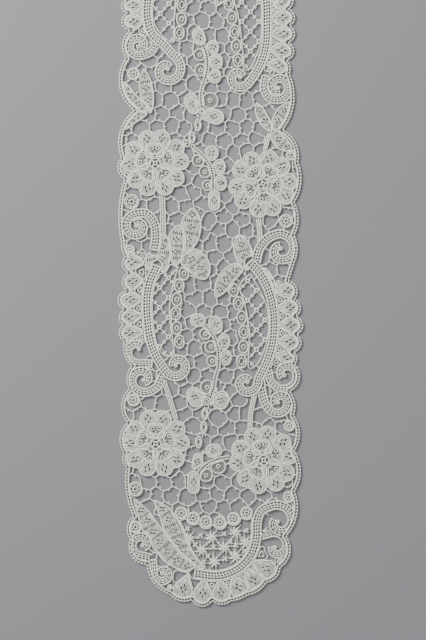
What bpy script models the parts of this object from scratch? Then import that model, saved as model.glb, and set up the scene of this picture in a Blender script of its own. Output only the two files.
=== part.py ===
"""A needle-lace lappet, laid flat with its right side up.

The lappet is a strip with a rounded, scalloped end and a straight upper end on a tape. Every motif is a plate of its
own, cut to meet its neighbours with a narrow seam, and a ground of bars fills what is left between them.

The tables give places in millimetres: x across from the centreline, s up from the tip of the rounded end. A shape is a
list of strokes, and a stroke is a row of points with a radius each, like a brush drawn along a line. Each shape becomes
a grid of distances to its outline, so that it can be cut back from its neighbours by a plain comparison. A motif that
comes earlier in the list of pieces keeps its whole outline.
"""

import math
import random

import bpy
import numpy as np
from mathutils import Vector
from mathutils.geometry import delaunay_2d_cdt

# Driving sizes, in millimetres.
LENGTH = 470.0
REPEAT = 174.6  # the pattern's repeat along the strip
HEADING_WIDTH = 6.0
HEADING_LEFT = -48.0
HEADING_RIGHT = 49.0
EDGING_WIDTH = 1.7
SEAM = 0.4  # between neighbouring pieces
EDGE_SEAM = 0.6  # between the edging and what it holds
GROUND_THICK = 1.0
CLOTH_THICK = 1.2
EDGING_THICK = 1.6
HEADING_THICK = 1.4
LOBE_RISE = 0.5  # how far a solid lobe swells above its rim
BAND_RISE = 0.35
SHEER_DIP = -0.3
BAR_WIDTH = 1.0
CELL_PITCH = 9.1  # between neighbouring cells of the ground
STAR_PITCH = 8.7  # between neighbouring cells of a filling
CELL_JITTER = 0.22  # of the pitch
LEAST_BAR = 2.2  # a shorter end of a bar is left off
LONGEST_BAR = 20.0  # only the outermost cells have longer ones
LEAST_BODY = 12.0  # square millimetres
LEAST_GROUND = 330.0  # a smaller patch of the ground is worked in one with the motif beside it
LEAST_HOLE = 11.5
GRID = 0.25  # between the points at which distances are taken
MARGIN = 2.0  # of the grid around a shape
LEAST_WIDTH = 0.75  # anything narrower is left off
FLATNESS = 0.44  # how far an outline may bow between two points; its sides straddle the curve
FLOWER_FLATNESS = 0.34
EDGE_FLATNESS = 0.54
ROUGH_FLATNESS = 0.68  # for the straight bars
FINER = 0.75  # of the flatness, at each further try
MOST_TRIES = 6
CURVE_STEP = 2.5
CROWN_GAP = 1.1  # from a raised point to the outline
FAR = 99.0
SEED = 11
MM = 0.001

LACE = (0.86, 0.84, 0.78, 1.0)
TAPE = (0.83, 0.81, 0.75, 1.0)

# ---------------------------------------------------------------- the tables

# x, s and the bulge outwards of the arc that runs on from here to the next row, down the left side, round the tip and
# up the right side. The part above the last rows is the same edge, one repeat further up.
EDGE = [
    (-48.4, 363.6, 4.0),
    (-47.7, 355.8, 4.9),
    (-46.2, 345.6, 3.6),
    (-49.2, 328.5, 6.6),
    (-44.1, 297.3, 5.0),
    (-51.9, 268.8, 3.4),
    (-49.9, 256.2, 2.6),
    (-51.9, 217.8, 0.7),
    (-49.8, 209.4, 2.7),
    (-47.7, 199.8, 3.6),
    (-48.4, 189.0, 5.0),
    (-49.9, 177.9, 3.4),
    (-50.3, 168.7, 3.2),
    (-50.3, 159.1, 2.3),
    (-45.6, 144.0, 2.4),
    (-47.1, 130.2, 4.4),
    (-48.0, 110.1, 3.7),
    (-50.3, 91.8, 1.7),
    (-48.9, 83.4, 2.2),
    (-44.7, 54.0, 3.1),
    (-46.5, 40.2, 5.1),
    (-36.6, 25.2, 3.5),
    (-23.1, 7.2, 2.4),
    (-9.9, 4.2, 3.9),
    (2.1, 3.6, 2.3),
    (13.2, 3.3, 0.7),
    (23.4, 6.9, 1.5),
    (34.5, 14.4, 2.3),
    (42.9, 23.4, 4.3),
    (46.2, 42.0, 4.1),
    (51.3, 69.0, 3.7),
    (51.1, 93.0, 3.5),
    (50.7, 114.6, 2.1),
    (48.3, 129.0, 4.7),
    (51.3, 145.2, 2.3),
    (50.3, 152.4, 4.0),
    (52.6, 163.2, 4.2),
    (51.9, 173.7, 3.6),
    (51.1, 184.2, 3.6),
    (47.7, 195.0, 0.2),
    (51.3, 206.4, 1.9),
    (51.1, 222.6, 2.6),
    (51.1, 242.4, 3.0),
    (53.4, 266.1, 3.8),
    (44.1, 285.6, 4.8),
    (48.3, 319.2, 1.5),
    (46.5, 327.6, 4.2),
    (47.3, 338.1, 3.9),
    (48.1, 348.3, 3.9),
    (47.4, 357.9, 3.2),
    (47.7, 369.6, 0.2),
]
EDGE_LEFT_REPEATED = (4, 10)  # the rows of EDGE, from and up to, that come again above its start
EDGE_RIGHT_REPEATED = (40, 45)  # and above its end

# name, x, s, radius, turn in degrees
FLOWERS = [
    ("flower_left_1", -31.6, 97.5, 20.6, 90.0),
    ("flower_right_1", 33.1, 87.6, 20.8, 98.0),
    ("flower_left_2", -31.9, 265.6, 20.6, 92.0),
    ("flower_right_2", 32.7, 253.3, 20.8, 60.0),
    ("flower_left_3", -31.9, 265.6 + REPEAT, 20.6, 92.0),
    ("flower_right_3", 32.7, 253.3 + REPEAT, 20.8, 60.0),
]
PETALS = 5
LOBE_SPREAD = 16.0  # degrees from a petal's middle to each of its two lobes
LOBE_REACH = 0.73  # of the flower's radius, as the next three are
LOBE_RADIUS = 0.27
FLOWER_BODY = 0.6
HEART_REACH = 0.36

# name, points (x, s) down to the curl, centre of the curl, its sweep in degrees, width at the start and at the end,
# radius at the end of the curl
SCROLLS = [
    ("medallion_left_1", [(-30.9, 204.0), (-35.1, 194.4), (-36.9, 183.6), (-36.6, 172.8), (-35.1, 160.8),
                          (-31.5, 150.0), (-25.5, 140.4)], (-18.9, 144.3), 330.0, 5.0, 3.4, 2.2),
    ("medallion_right_1", [(24.9, 206.4), (32.1, 198.0), (36.9, 187.2), (39.0, 176.4), (39.3, 166.8),
                           (38.1, 156.0), (34.5, 145.2), (29.7, 135.6)], (22.8, 133.8), -330.0, 5.0, 3.4, 2.2),
    ("medallion_left_2", [(-30.9, 378.6), (-35.1, 369.0), (-36.6, 358.8), (-36.3, 351.0), (-33.3, 342.6),
                          (-26.7, 336.6), (-21.3, 330.6)], (-24.9, 321.6), -380.0, 5.0, 3.4, 1.9),
    ("medallion_right_2", [(24.9, 381.0), (32.1, 372.6), (34.8, 362.4), (35.1, 350.4), (34.8, 338.4),
                           (32.7, 328.8), (28.5, 319.8), (23.7, 313.2)], (18.3, 316.8), -300.0, 5.0, 3.4, 2.2),
    ("shell_band", [(-5.1, 19.2), (3.9, 18.0), (12.9, 19.8), (20.7, 24.6), (26.1, 31.8), (28.8, 40.8),
                    (29.1, 50.4), (31.5, 57.0), (35.7, 59.4)], (42.3, 50.4), -330.0, 5.0, 3.6, 2.4),
    ("medallion_left_1", [(-26.4, 140.4), (-30.3, 132.0), (-35.7, 128.4)], (-39.3, 136.2), -360.0, 3.8, 3.0, 2.0),
    ("medallion_right_1", [(31.1, 138.6), (32.1, 128.4), (34.5, 120.6), (38.1, 116.4)], (42.3, 122.4), 330.0,
     3.8, 3.0, 2.2),
    ("curl_left_1", [(-33.3, 27.6), (-32.7, 20.4)], (-27.3, 19.2), 330.0, 3.6, 2.8, 1.8),
    ("curl_left_1", [(-32.3, 26.8), (-35.1, 28.8), (-39.9, 30.0)], (-39.9, 37.2), -330.0, 3.8, 3.0, 2.0),
    ("curl_left_2", [(-33.9, 145.2), (-38.7, 145.8)], (-42.3, 153.3), -240.0, 3.6, 2.8, 3.0),
    ("curl_left_3", [(-32.6, 213.6), (-31.4, 221.0), (-32.4, 229.5), (-37.0, 235.2), (-41.5, 235.6)],
     (-42.8, 227.6), 400.0, 4.2, 3.0, 1.8),
    ("curl_left_4", [(-30.9, 339.6), (-33.9, 333.0), (-39.3, 330.3)], (-42.0, 336.3), -400.0, 3.8, 3.0, 2.0),
    ("curl_left_5", [(-32.6, 213.6 + REPEAT), (-31.4, 221.0 + REPEAT), (-32.4, 229.5 + REPEAT),
                     (-37.0, 235.2 + REPEAT), (-41.5, 235.6 + REPEAT)],
     (-42.8, 227.6 + REPEAT), 400.0, 4.2, 3.0, 1.8),
    ("curl_right_1", [(30.9, 42.0), (35.7, 43.2)], (40.5, 35.4), -300.0, 3.6, 2.8, 2.2),
    ("curl_right_2", [(35.7, 141.6), (37.5, 135.0), (41.7, 130.8)], (46.2, 138.9), 330.0, 3.6, 2.8, 2.4),
    ("curl_right_3", [(28.5, 206.4), (30.3, 213.6), (35.1, 220.2), (41.1, 223.2)], (43.5, 213.6), -360.0,
     4.2, 3.0, 2.4),
    ("curl_right_4", [(34.5, 318.0), (33.3, 310.8), (35.7, 305.4)], (41.7, 311.4), 420.0, 3.8, 3.0, 2.0),
    ("curl_right_5", [(28.5, 206.4 + REPEAT), (30.3, 213.6 + REPEAT), (35.1, 220.2 + REPEAT),
                      (41.1, 223.2 + REPEAT)], (43.5, 213.6 + REPEAT), -360.0, 4.2, 3.0, 2.4),
]

CURL_FILL = 0.72  # of a curl's first radius; its turns lie close together inside that

# name, then for each leaf its points (x, s) from foot to tip and its width
LEAVES = [
    ("leaf_spray_left_1", [
        ([(-31.5, 197.5), (-33.6, 205.0), (-34.6, 213.0)], 6.4),
        ([(-27.3, 201.4), (-27.8, 213.6), (-27.3, 224.0)], 8.0),
        ([(-19.6, 205.6), (-19.6, 217.2), (-17.6, 228.4)], 8.4),
        ([(-13.6, 213.4), (-10.6, 226.8), (-9.3, 238.4)], 10.0),
        ([(-16.5, 210.2), (-7.5, 206.4), (-1.9, 196.8)], 11.0),
    ]),
    ("leaf_spray_right_1", [
        ([(23.6, 203.0), (21.0, 212.0), (18.3, 221.6)], 9.0),
        ([(21.5, 205.0), (12.0, 198.0), (4.4, 185.2)], 7.6),
        ([(26.0, 203.0), (33.5, 199.0), (41.1, 186.0)], 5.6),
    ]),
    ("shell_leaf_outer", [
        ([(-6.8, 20.6), (-20.1, 28.3), (-27.1, 36.2), (-33.4, 44.9), (-38.0, 53.6), (-44.5, 64.2)], 9.0),
    ]),
    ("shell_leaf_inner", [
        ([(-4.1, 22.8), (-10.1, 26.3), (-16.4, 33.6), (-20.8, 44.9), (-25.4, 55.0), (-32.4, 63.2)], 9.2),
    ]),
    ("side_leaves_left", [
        ([(-36.5, 297.4), (-46.0, 304.0), (-51.0, 314.4)], 6.0),
        ([(-35.1, 296.6), (-37.2, 309.0), (-38.7, 322.0)], 6.6),
        ([(-36.5, 297.0), (-46.0, 292.6), (-52.5, 285.0)], 6.0),
    ]),
    ("side_leaves_right", [
        ([(37.5, 285.0), (32.6, 293.0), (28.8, 301.8)], 5.4),
        ([(38.2, 285.0), (43.0, 293.6), (48.9, 302.6)], 6.0),
        ([(38.1, 285.6), (43.6, 278.0), (50.0, 273.6)], 6.6),
    ]),
]
LEAVES_REPEATED = (("leaf_spray_left_1", "leaf_spray_left_2"), ("leaf_spray_right_1", "leaf_spray_right_2"))
LEAF_PROFILE = [(0.0, 0.3), (0.2, 0.72), (0.42, 1.0), (0.62, 0.94), (0.8, 0.64), (0.93, 0.3), (1.0, 0.12)]

# name, then x, s of each bead of the chain
CHAINS = [
    ("bead_chain_left_1", [(-14.7, 199.6), (-17.5, 192.3), (-19.0, 183.9), (-19.6, 175.4), (-19.0, 166.8),
                           (-17.4, 158.6)]),
    ("bead_chain_right_1", [(15.1, 189.6), (18.0, 181.6), (19.9, 173.0), (21.2, 164.3), (21.0, 155.5),
                            (19.9, 146.8)]),
    ("bead_chain_left_2", [(-15.4, 369.0), (-15.9, 360.6), (-16.2, 352.2), (-17.4, 343.9)]),
    ("bead_chain_right_2", [(10.8, 369.0), (12.3, 361.2), (14.1, 352.9), (15.7, 344.5), (16.7, 335.9),
                            (17.7, 327.4)]),
]
BEAD = (2.9, 4.6)  # half a chain bead's width and height

# name, outline (x, s) of the filled space
FILLINGS = [
    ("filling_left_1", [(-24.6, 204.6), (-31.4, 196.4), (-34.0, 186.4), (-34.2, 172.8), (-32.1, 159.6), (-27.3, 150.6),
                        (-20.5, 150.6), (-21.3, 160.6), (-23.0, 174.0), (-22.7, 183.6), (-20.9, 193.2),
                        (-17.9, 205.4)]),
    ("filling_right_1", [(25.1, 199.8), (32.1, 187.8), (35.9, 177.0), (36.5, 166.8), (34.5, 156.0),
                         (29.7, 145.2), (23.9, 142.4), (23.9, 153.6), (24.3, 163.8), (23.1, 172.8),
                         (21.3, 181.8), (18.4, 192.6)]),
    ("filling_left_2", [(-29.1, 373.0), (-33.3, 363.6), (-33.8, 352.8), (-30.3, 345.0), (-25.5, 339.8),
                        (-20.3, 337.8), (-20.4, 351.6), (-19.5, 360.6), (-19.0, 377.0)]),
    ("filling_right_2", [(24.1, 374.4), (31.5, 362.4), (32.3, 350.4), (31.5, 338.4), (29.1, 330.0),
                         (24.9, 321.8), (20.8, 321.8), (20.7, 327.6), (19.9, 336.6), (18.9, 345.6),
                         (17.4, 354.6), (15.0, 366.6)]),
    ("filling_shell", [(-19.5, 54.0), (-16.3, 45.0), (-13.0, 34.0), (-8.5, 26.0), (-3.0, 21.5), (6.6, 19.0),
                       (17.5, 23.5), (25.0, 30.5), (28.6, 40.0), (28.4, 53.0), (15.0, 53.0), (7.0, 50.0),
                       (-1.5, 50.0), (-9.0, 53.0)]),
]
FILLING_RIM = 1.0

# name, then the line (x, s) that carries the scallops and its width, then for each scallop x, s, half width across
# the strip, half height along it, turn in degrees
SCALLOPS = [
    ("scallops_left_1", [(-40.3, 209.0), (-40.9, 195.0), (-41.6, 184.0), (-41.6, 172.0), (-40.5, 160.0)], 4.0, [
        (-45.6, 206.4, 6.4, 5.2, 0.0), (-44.9, 195.0, 6.6, 5.4, 0.0), (-46.4, 184.0, 6.8, 5.4, 0.0),
        (-46.9, 173.7, 6.8, 5.2, 0.0), (-46.9, 164.0, 6.6, 5.2, 0.0),
    ]),
    ("scallops_right_1", [(41.4, 192.0), (43.2, 180.0), (43.6, 168.0), (42.8, 156.0), (41.0, 147.0)], 4.0, [
        (47.6, 189.4, 6.2, 5.2, 0.0), (48.8, 179.2, 6.4, 5.4, 0.0), (49.2, 168.6, 6.4, 5.4, 0.0),
        (48.5, 158.4, 6.4, 5.2, 0.0), (47.0, 149.4, 6.0, 4.6, 0.0),
    ]),
    ("scallops_left_2", [(-40.0, 374.0), (-40.6, 362.0), (-40.0, 352.0), (-38.2, 344.5)], 4.0, [
        (-44.9, 370.0, 6.6, 5.4, 0.0), (-44.7, 360.4, 6.6, 5.2, 0.0), (-44.2, 350.6, 6.6, 5.2, 0.0),
    ]),
    ("scallops_right_2", [(38.6, 376.0), (38.6, 362.0), (39.0, 352.0), (39.0, 340.0), (38.0, 330.0),
                          (36.5, 321.0)], 4.0, [
        (44.0, 372.4, 6.2, 5.4, 0.0), (43.5, 362.4, 6.2, 5.2, 0.0), (44.1, 352.8, 6.4, 5.2, 0.0),
        (44.6, 343.2, 6.4, 5.2, 0.0), (43.8, 333.3, 6.2, 5.2, 0.0), (41.7, 324.4, 6.0, 4.6, 0.0),
    ]),
    ("scallops_shell", [(-17.6, 17.6), (-7.4, 14.3), (2.2, 13.0), (11.9, 14.2), (20.6, 18.4), (27.2, 23.6),
                        (31.4, 31.6)], 5.4, [
        (-15.1, 10.1, 6.0, 5.6, 0.0), (-3.5, 7.4, 5.8, 5.5, 0.0), (7.7, 7.9, 5.8, 5.4, 0.0),
        (18.3, 10.9, 5.7, 5.5, 15.0), (27.2, 15.0, 5.7, 5.5, 35.0), (35.0, 22.2, 5.7, 5.5, 45.0),
    ]),
]

# x, s, radius of the ring beads worked into the ground
GROUND_BEADS = [
    (-43.8, 47.4, 3.9), (-43.8, 70.2, 4.6), (-44.9, 123.6, 3.9), (-47.2, 213.6, 3.2), (-46.1, 242.6, 4.6),
    (-44.9, 319.2, 3.9), (-46.1, 242.6 + REPEAT, 4.6), (-47.2, 213.6 + REPEAT, 3.2),
    (43.5, 26.4, 2.6), (48.2, 65.4, 3.6), (48.4, 108.0, 3.4), (46.5, 231.0, 4.2), (50.0, 270.6, 3.6),
    (46.5, 231.0 + REPEAT, 4.2), (50.0, 270.6 + REPEAT, 3.6), (-23.1, 11.4, 1.8),
]
SHELL_RINGS = [(-16.3, 55.8), (-9.0, 52.8), (-1.5, 50.6), (6.9, 50.2), (15.1, 52.6), (22.9, 56.0)]
SHELL_RING_RADIUS = 3.9
SHELL_RING_TIE = 1.8

# Sprigs: the stem's points, then the round sheer lobes (x, s, radius) and the solid lobes (x, s, half width, half
# height, turn in degrees), then the drop chain that hangs from it (x, s).
SPRIGS = [
    ("sprig_1", {
        "stem": [(-8.8, 73.4), (-6.8, 78.0), (-3.8, 82.4), (0.6, 86.0), (5.2, 88.0), (12.2, 89.4)],
        "sheer": [(5.9, 83.9, 4.6), (-1.5, 78.6, 4.2)],
        "solid": [(-6.6, 86.4, 3.1, 5.4, -10.0), (3.2, 93.0, 5.0, 4.3, 0.0), (-8.9, 74.2, 3.7, 6.9, 0.0)],
        "chain": [],
    }),
    ("sprig_2", {
        "stem": [(-4.5, 171.0), (-1.9, 168.6), (2.4, 163.2), (5.3, 157.0), (6.2, 150.2), (6.0, 144.0), (4.2, 137.2),
                 (3.2, 131.0), (1.2, 125.4), (-1.8, 116.4), (-2.8, 107.4), (-5.9, 98.8)],
        "sheer": [(-1.9, 163.3, 3.6), (1.5, 155.6, 3.8), (2.2, 147.0, 3.5), (-0.6, 131.3, 4.4),
                  (-1.0, 122.9, 2.6)],
        "solid": [(-6.3, 171.4, 4.7, 4.0, 0.0), (4.3, 168.6, 3.9, 5.5, 12.0), (9.2, 158.5, 3.5, 4.9, -5.0),
                  (10.4, 149.0, 3.4, 4.7, -5.0), (-8.0, 125.3, 4.6, 6.1, 25.0), (7.5, 123.4, 4.6, 5.8, -25.0)],
        "chain": [(-2.1, 115.4), (-2.8, 107.4), (-5.9, 98.4)],
    }),
    ("sprig_3", {
        "stem": [(-13.5, 278.2), (-8.8, 275.0), (-6.0, 272.6), (-2.2, 268.9), (0.7, 265.0), (2.2, 261.0),
                 (2.9, 256.0), (2.9, 250.0), (3.3, 242.0)],
        "sheer": [(-6.0, 267.3, 3.9), (-2.1, 260.4, 3.8), (-0.5, 252.4, 3.4)],
        "solid": [(1.8, 271.6, 4.2, 4.7, -20.0), (6.6, 263.3, 3.6, 4.7, -5.0), (7.3, 253.9, 3.5, 4.8, 5.0),
                  (3.5, 243.4, 3.5, 6.3, 0.0), (-13.6, 277.4, 3.0, 2.4, 0.0)],
        "chain": [],
    }),
    ("sprig_4", {
        "stem": [(-5.0, 340.0), (-3.6, 337.0), (-1.3, 332.0), (-0.5, 326.5), (-0.8, 321.0), (-2.1, 316.0),
                 (-3.9, 310.6), (-4.7, 305.0), (-4.2, 299.0), (-6.3, 288.6), (-9.9, 281.0)],
        "sheer": [(-5.2, 330.7, 3.8), (-4.6, 321.5, 3.9), (1.0, 303.2, 4.9), (-3.9, 296.8, 2.3)],
        "solid": [(-5.6, 341.4, 3.7, 5.3, 18.0), (2.7, 335.0, 3.5, 4.5, 0.0), (4.5, 326.5, 4.0, 4.9, 0.0),
                  (3.7, 317.8, 3.8, 4.5, 0.0), (-9.4, 301.2, 4.3, 6.4, 25.0), (3.4, 293.7, 6.0, 4.6, -20.0)],
        "chain": [(-6.3, 288.4), (-9.9, 280.8)],
    }),
    ("sprig_5", {
        "stem": [(-13.5, 278.2 + REPEAT), (-8.8, 275.0 + REPEAT), (-6.0, 272.6 + REPEAT), (-2.2, 268.9 + REPEAT),
                 (0.7, 265.0 + REPEAT), (2.2, 261.0 + REPEAT), (2.9, 256.0 + REPEAT), (2.9, 250.0 + REPEAT),
                 (3.3, 242.0 + REPEAT)],
        "sheer": [(-6.0, 267.3 + REPEAT, 3.9), (-2.1, 260.4 + REPEAT, 3.8), (-0.5, 252.4 + REPEAT, 3.4)],
        "solid": [(1.8, 271.6 + REPEAT, 4.2, 4.7, -20.0), (6.6, 263.3 + REPEAT, 3.6, 4.7, -5.0),
                  (7.3, 253.9 + REPEAT, 3.5, 4.8, 5.0), (3.5, 243.4 + REPEAT, 3.5, 6.3, 0.0)],
        "chain": [],
    }),
]
STEM_WIDTH = 2.3
DROP = (2.2, 4.3)  # half a hanging drop's width and height

# Stems between a flower and what grows from it: the piece that they are worked in one with, points (x, s), width.
STEMS = [
    ("leaf_spray_left_1", [(-27.8, 247.0), (-27.3, 234.0), (-27.2, 219.0)], 3.4),
    ("leaf_spray_left_2", [(-27.8, 247.0 + REPEAT), (-27.3, 234.0 + REPEAT), (-27.2, 219.0 + REPEAT)], 3.4),
    ("medallion_left_1", [(-28.4, 140.0), (-22.9, 123.6), (-19.5, 112.0)], 3.0),
    ("medallion_right_1", [(29.4, 134.0), (25.5, 116.4), (24.9, 104.0)], 3.0),
    ("curl_right_3", [(30.0, 212.0), (30.9, 222.0), (29.9, 234.0)], 3.0),
    ("curl_right_5", [(30.0, 212.0 + REPEAT), (30.9, 222.0 + REPEAT), (29.9, 234.0 + REPEAT)], 3.0),
    ("side_leaves_right", [(38.0, 286.4), (34.5, 276.0), (33.6, 268.0)], 2.6),
    ("sprig_1", [(-6.3, 88.0), (-2.0, 93.0), (2.1, 93.0)], 1.9),
]


# ---------------------------------------------------------------- strokes

def smooth(points, step=CURVE_STEP):
    """A curve through the points, as points about a step apart."""
    rows = [np.array(p, dtype=float) for p in points]
    if len(rows) < 3:
        return rows
    ends = [2 * rows[0] - rows[1]] + rows + [2 * rows[-1] - rows[-2]]
    out = []
    for a, b, c, d in zip(ends, ends[1:], ends[2:], ends[3:]):
        count = max(1, round(np.linalg.norm(c - b) / step))
        for k in range(count):
            t = k / count
            out.append(0.5 * (2 * b + (c - a) * t + (2 * a - 5 * b + 4 * c - d) * t ** 2
                              + (3 * b - a - 3 * c + d) * t ** 3))
    return out + [rows[-1]]


def brush(points, start, end=None):
    """A stroke along the points, with a width that runs from start to end."""
    end = start if end is None else end
    last = max(1, len(points) - 1)
    return np.array([(x, s, (start + (end - start) * k / last) / 2) for k, (x, s) in enumerate(points)])


def disc(x, s, radius):
    return np.array([(x, s, radius)])


def oval(x, s, across, along, turn=0.0):
    """An oval of the given half sizes, as a short stroke along its longer axis."""
    reach = abs(along - across)
    angle = math.radians(turn + (90.0 if along > across else 0.0))
    dx, ds = reach * math.cos(angle), reach * math.sin(angle)
    radius = min(across, along)
    return np.array([(x - dx, s - ds, radius), (x, s, radius), (x + dx, s + ds, radius)])


def leaf(points, width):
    """A pointed leaf along its middle line."""
    line = np.array(smooth(points, 1.5))
    run = np.concatenate([[0], np.cumsum(np.linalg.norm(np.diff(line, axis=0), axis=1))])
    places, shares = zip(*LEAF_PROFILE)
    radii = np.interp(run / run[-1], places, shares) * width / 2
    return np.column_stack([line, radii])


def scroll(lead, centre, sweep, start, end, last_radius):
    """A band along its lead that then curls in round a centre."""
    line = smooth(lead)
    dx, ds = line[-1][0] - centre[0], line[-1][1] - centre[1]
    first_radius = math.hypot(dx, ds)
    first_angle = math.atan2(ds, dx)
    turns = math.radians(sweep)
    steps = math.ceil(abs(turns) * first_radius / (1.4 * CURVE_STEP))
    for k in range(1, steps + 1):
        share = k / steps
        radius = first_radius + (last_radius - first_radius) * share
        angle = first_angle + turns * share
        line.append(np.array([centre[0] + radius * math.cos(angle), centre[1] + radius * math.sin(angle)]))
    return brush(line, start, end)


def flower_strokes(x, s, radius, turn):
    """The round body and the two lobes of each petal."""
    strokes = [disc(x, s, FLOWER_BODY * radius)]
    for petal in range(PETALS):
        for side in (-1, 1):
            angle = math.radians(turn + 360.0 / PETALS * petal + side * LOBE_SPREAD)
            reach = LOBE_REACH * radius
            strokes.append(disc(x + reach * math.cos(angle), s + reach * math.sin(angle), LOBE_RADIUS * radius))
    return strokes


def flower_crowns(x, s, radius, turn):
    """Raised points on the lobes, low ones in the sheer hearts and a raised one in the middle."""
    crowns = [(x, s, BAND_RISE)]
    for petal in range(PETALS):
        middle = turn + 360.0 / PETALS * petal
        for angle, reach, rise in (
            (middle - LOBE_SPREAD, LOBE_REACH, LOBE_RISE), (middle + LOBE_SPREAD, LOBE_REACH, LOBE_RISE),
            (middle, 0.54, LOBE_RISE / 2), (middle, HEART_REACH, SHEER_DIP), (middle + 36.0, 0.3, 0.1),
            (middle + 36.0, 0.58, 0.0),
        ):
            turned = math.radians(angle)
            crowns.append((x + reach * radius * math.cos(turned), s + reach * radius * math.sin(turned), rise))
    return crowns


def middle_crowns(strokes, rise):
    """Raised points along the strokes' middle lines."""
    return [(x, s, rise) for stroke in strokes for x, s, radius in stroke[::4] if radius > CROWN_GAP]


# ---------------------------------------------------------------- distances on the grid

class Window:
    """A rectangle of the grid, as the ranges of its points."""

    def __init__(self, low_x, low_s, high_x, high_s):
        self.columns = np.arange(math.floor(low_x / GRID), math.ceil(high_x / GRID) + 1)
        self.rows = np.arange(math.floor(low_s / GRID), math.ceil(high_s / GRID) + 1)
        self.x, self.s = np.meshgrid(self.columns * GRID, self.rows * GRID)

    def inside(self, whole):
        """The slices that take this window out of an array over the whole grid."""
        first_row = self.rows[0] - whole.rows[0]
        first_column = self.columns[0] - whole.columns[0]
        return (slice(first_row, first_row + len(self.rows)), slice(first_column, first_column + len(self.columns)))


def segment_distance(x, s, a, b):
    """The distance from each point of the grid to the segment, and how far along it the nearest place is."""
    run = b[:2] - a[:2]
    length2 = float(run @ run)
    if length2 < 1e-9:
        return np.hypot(x - a[0], s - a[1]), np.zeros_like(x)
    share = np.clip(((x - a[0]) * run[0] + (s - a[1]) * run[1]) / length2, 0.0, 1.0)
    return np.hypot(x - a[0] - share * run[0], s - a[1] - share * run[1]), share


def stroke_box(strokes):
    every = np.vstack(strokes)
    low = (every[:, :2] - every[:, 2:]).min(axis=0)
    high = (every[:, :2] + every[:, 2:]).max(axis=0)
    return low, high


def window_round(strokes, whole):
    """The part of a window that the strokes reach, with a margin round them."""
    low, high = stroke_box(strokes)
    return Window(max(low[0] - MARGIN, whole.columns[0] * GRID), max(low[1] - MARGIN, whole.rows[0] * GRID),
                  min(high[0] + MARGIN, whole.columns[-1] * GRID), min(high[1] + MARGIN, whole.rows[-1] * GRID))


def painted(strokes, window):
    """The distance to the strokes' outline over a window, negative inside them."""
    field = np.full(window.x.shape, FAR)
    for stroke in strokes:
        for a, b in list(zip(stroke, stroke[1:])) or [(stroke[0], stroke[0])]:
            part = window_round([np.array([a, b])], window)
            if not part.x.size:
                continue
            distance, share = segment_distance(part.x, part.s, a, b)
            place = part.inside(window)
            field[place] = np.minimum(field[place], distance - (a[2] + share * (b[2] - a[2])))
    return field


def outline_distance(points, window):
    """The distance to a closed outline near it, negative inside it."""
    after = np.roll(points, -1, axis=0)
    sides = [np.array([(*a, 0.0), (*b, 0.0)]) for a, b in zip(points, after)]
    inside = np.zeros(window.x.shape, dtype=bool)
    for a, b in zip(points, after):
        crosses = (a[1] > window.s[:, 0]) != (b[1] > window.s[:, 0])
        if crosses.any():
            at = a[0] + (window.s[crosses, 0] - a[1]) * (b[0] - a[0]) / (b[1] - a[1])
            inside[crosses] ^= window.x[crosses] < at[:, None]
    distance = painted(sides, window)
    return np.where(inside, -distance, distance)


def shifted(mask, rows, columns):
    """The mask moved over by whole grid steps, with nothing beyond its rim."""
    out = np.zeros_like(mask)
    height, width = mask.shape
    out[max(rows, 0):height + min(rows, 0), max(columns, 0):width + min(columns, 0)] = \
        mask[max(-rows, 0):height + min(-rows, 0), max(-columns, 0):width + min(-columns, 0)]
    return out


def without_slivers(field):
    """The field with whatever is narrower than the least width taken out."""
    reach = LEAST_WIDTH / 2 / GRID
    near = [(i, j) for i in range(-4, 5) for j in range(-4, 5) if math.hypot(i, j) <= reach]
    near_wide = [(i, j) for i in range(-4, 5) for j in range(-4, 5) if math.hypot(i, j) <= reach + 1]
    inside = field < 0
    core = inside.copy()
    for i, j in near:
        core &= shifted(inside, i, j)
    kept = np.zeros_like(core)
    for i, j in near_wide:
        kept |= shifted(core, i, j)
    return np.where(kept | ~inside, field, GRID / 4)


# ---------------------------------------------------------------- outlines from a field

def outlines(field, window):
    """The closed loops where the field is nothing, with the solid on their left."""
    rows, columns = field.shape
    inside = field < 0
    code = (inside[:-1, :-1] * 1 + inside[:-1, 1:] * 2 + inside[1:, 1:] * 4 + inside[1:, :-1] * 8)
    # A cell's sides are 0 below, 1 right, 2 above and 3 left; each pair goes from where the line enters to where it
    # leaves.
    ways = {1: [(0, 3)], 2: [(1, 0)], 3: [(1, 3)], 4: [(2, 1)], 6: [(2, 0)], 7: [(2, 3)], 8: [(3, 2)],
            9: [(0, 2)], 11: [(1, 2)], 12: [(3, 1)], 13: [(0, 1)], 14: [(3, 0)],
            5: [(0, 3), (2, 1)], 10: [(1, 0), (3, 2)]}

    def side(row, column, which):
        if which == 0:
            return row, column, 0
        if which == 1:
            return row, column + 1, 1
        if which == 2:
            return row + 1, column, 0
        return row, column, 1

    def place(key):
        row, column, upright = key
        here = field[row, column]
        there = field[row + 1, column] if upright else field[row, column + 1]
        share = min(max(here / (here - there), 0.05), 0.95)
        x = window.columns[0] + column + (0 if upright else share)
        s = window.rows[0] + row + (share if upright else 0)
        return x * GRID, s * GRID

    following = {}
    for row, column in zip(*np.nonzero((code > 0) & (code < 15))):
        for enters, leaves in ways[int(code[row, column])]:
            following[side(row, column, enters)] = side(row, column, leaves)
    loops = []
    while following:
        first, after = next(iter(following.items()))
        loop = []
        key = first
        while key in following:
            loop.append(place(key))
            key = following.pop(key)
        loops.append(np.array(loop))
    return loops


def area_of(loop):
    x, s = loop[:, 0], loop[:, 1]
    return 0.5 * float(np.sum(x * np.roll(s, -1) - np.roll(x, -1) * s))


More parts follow.
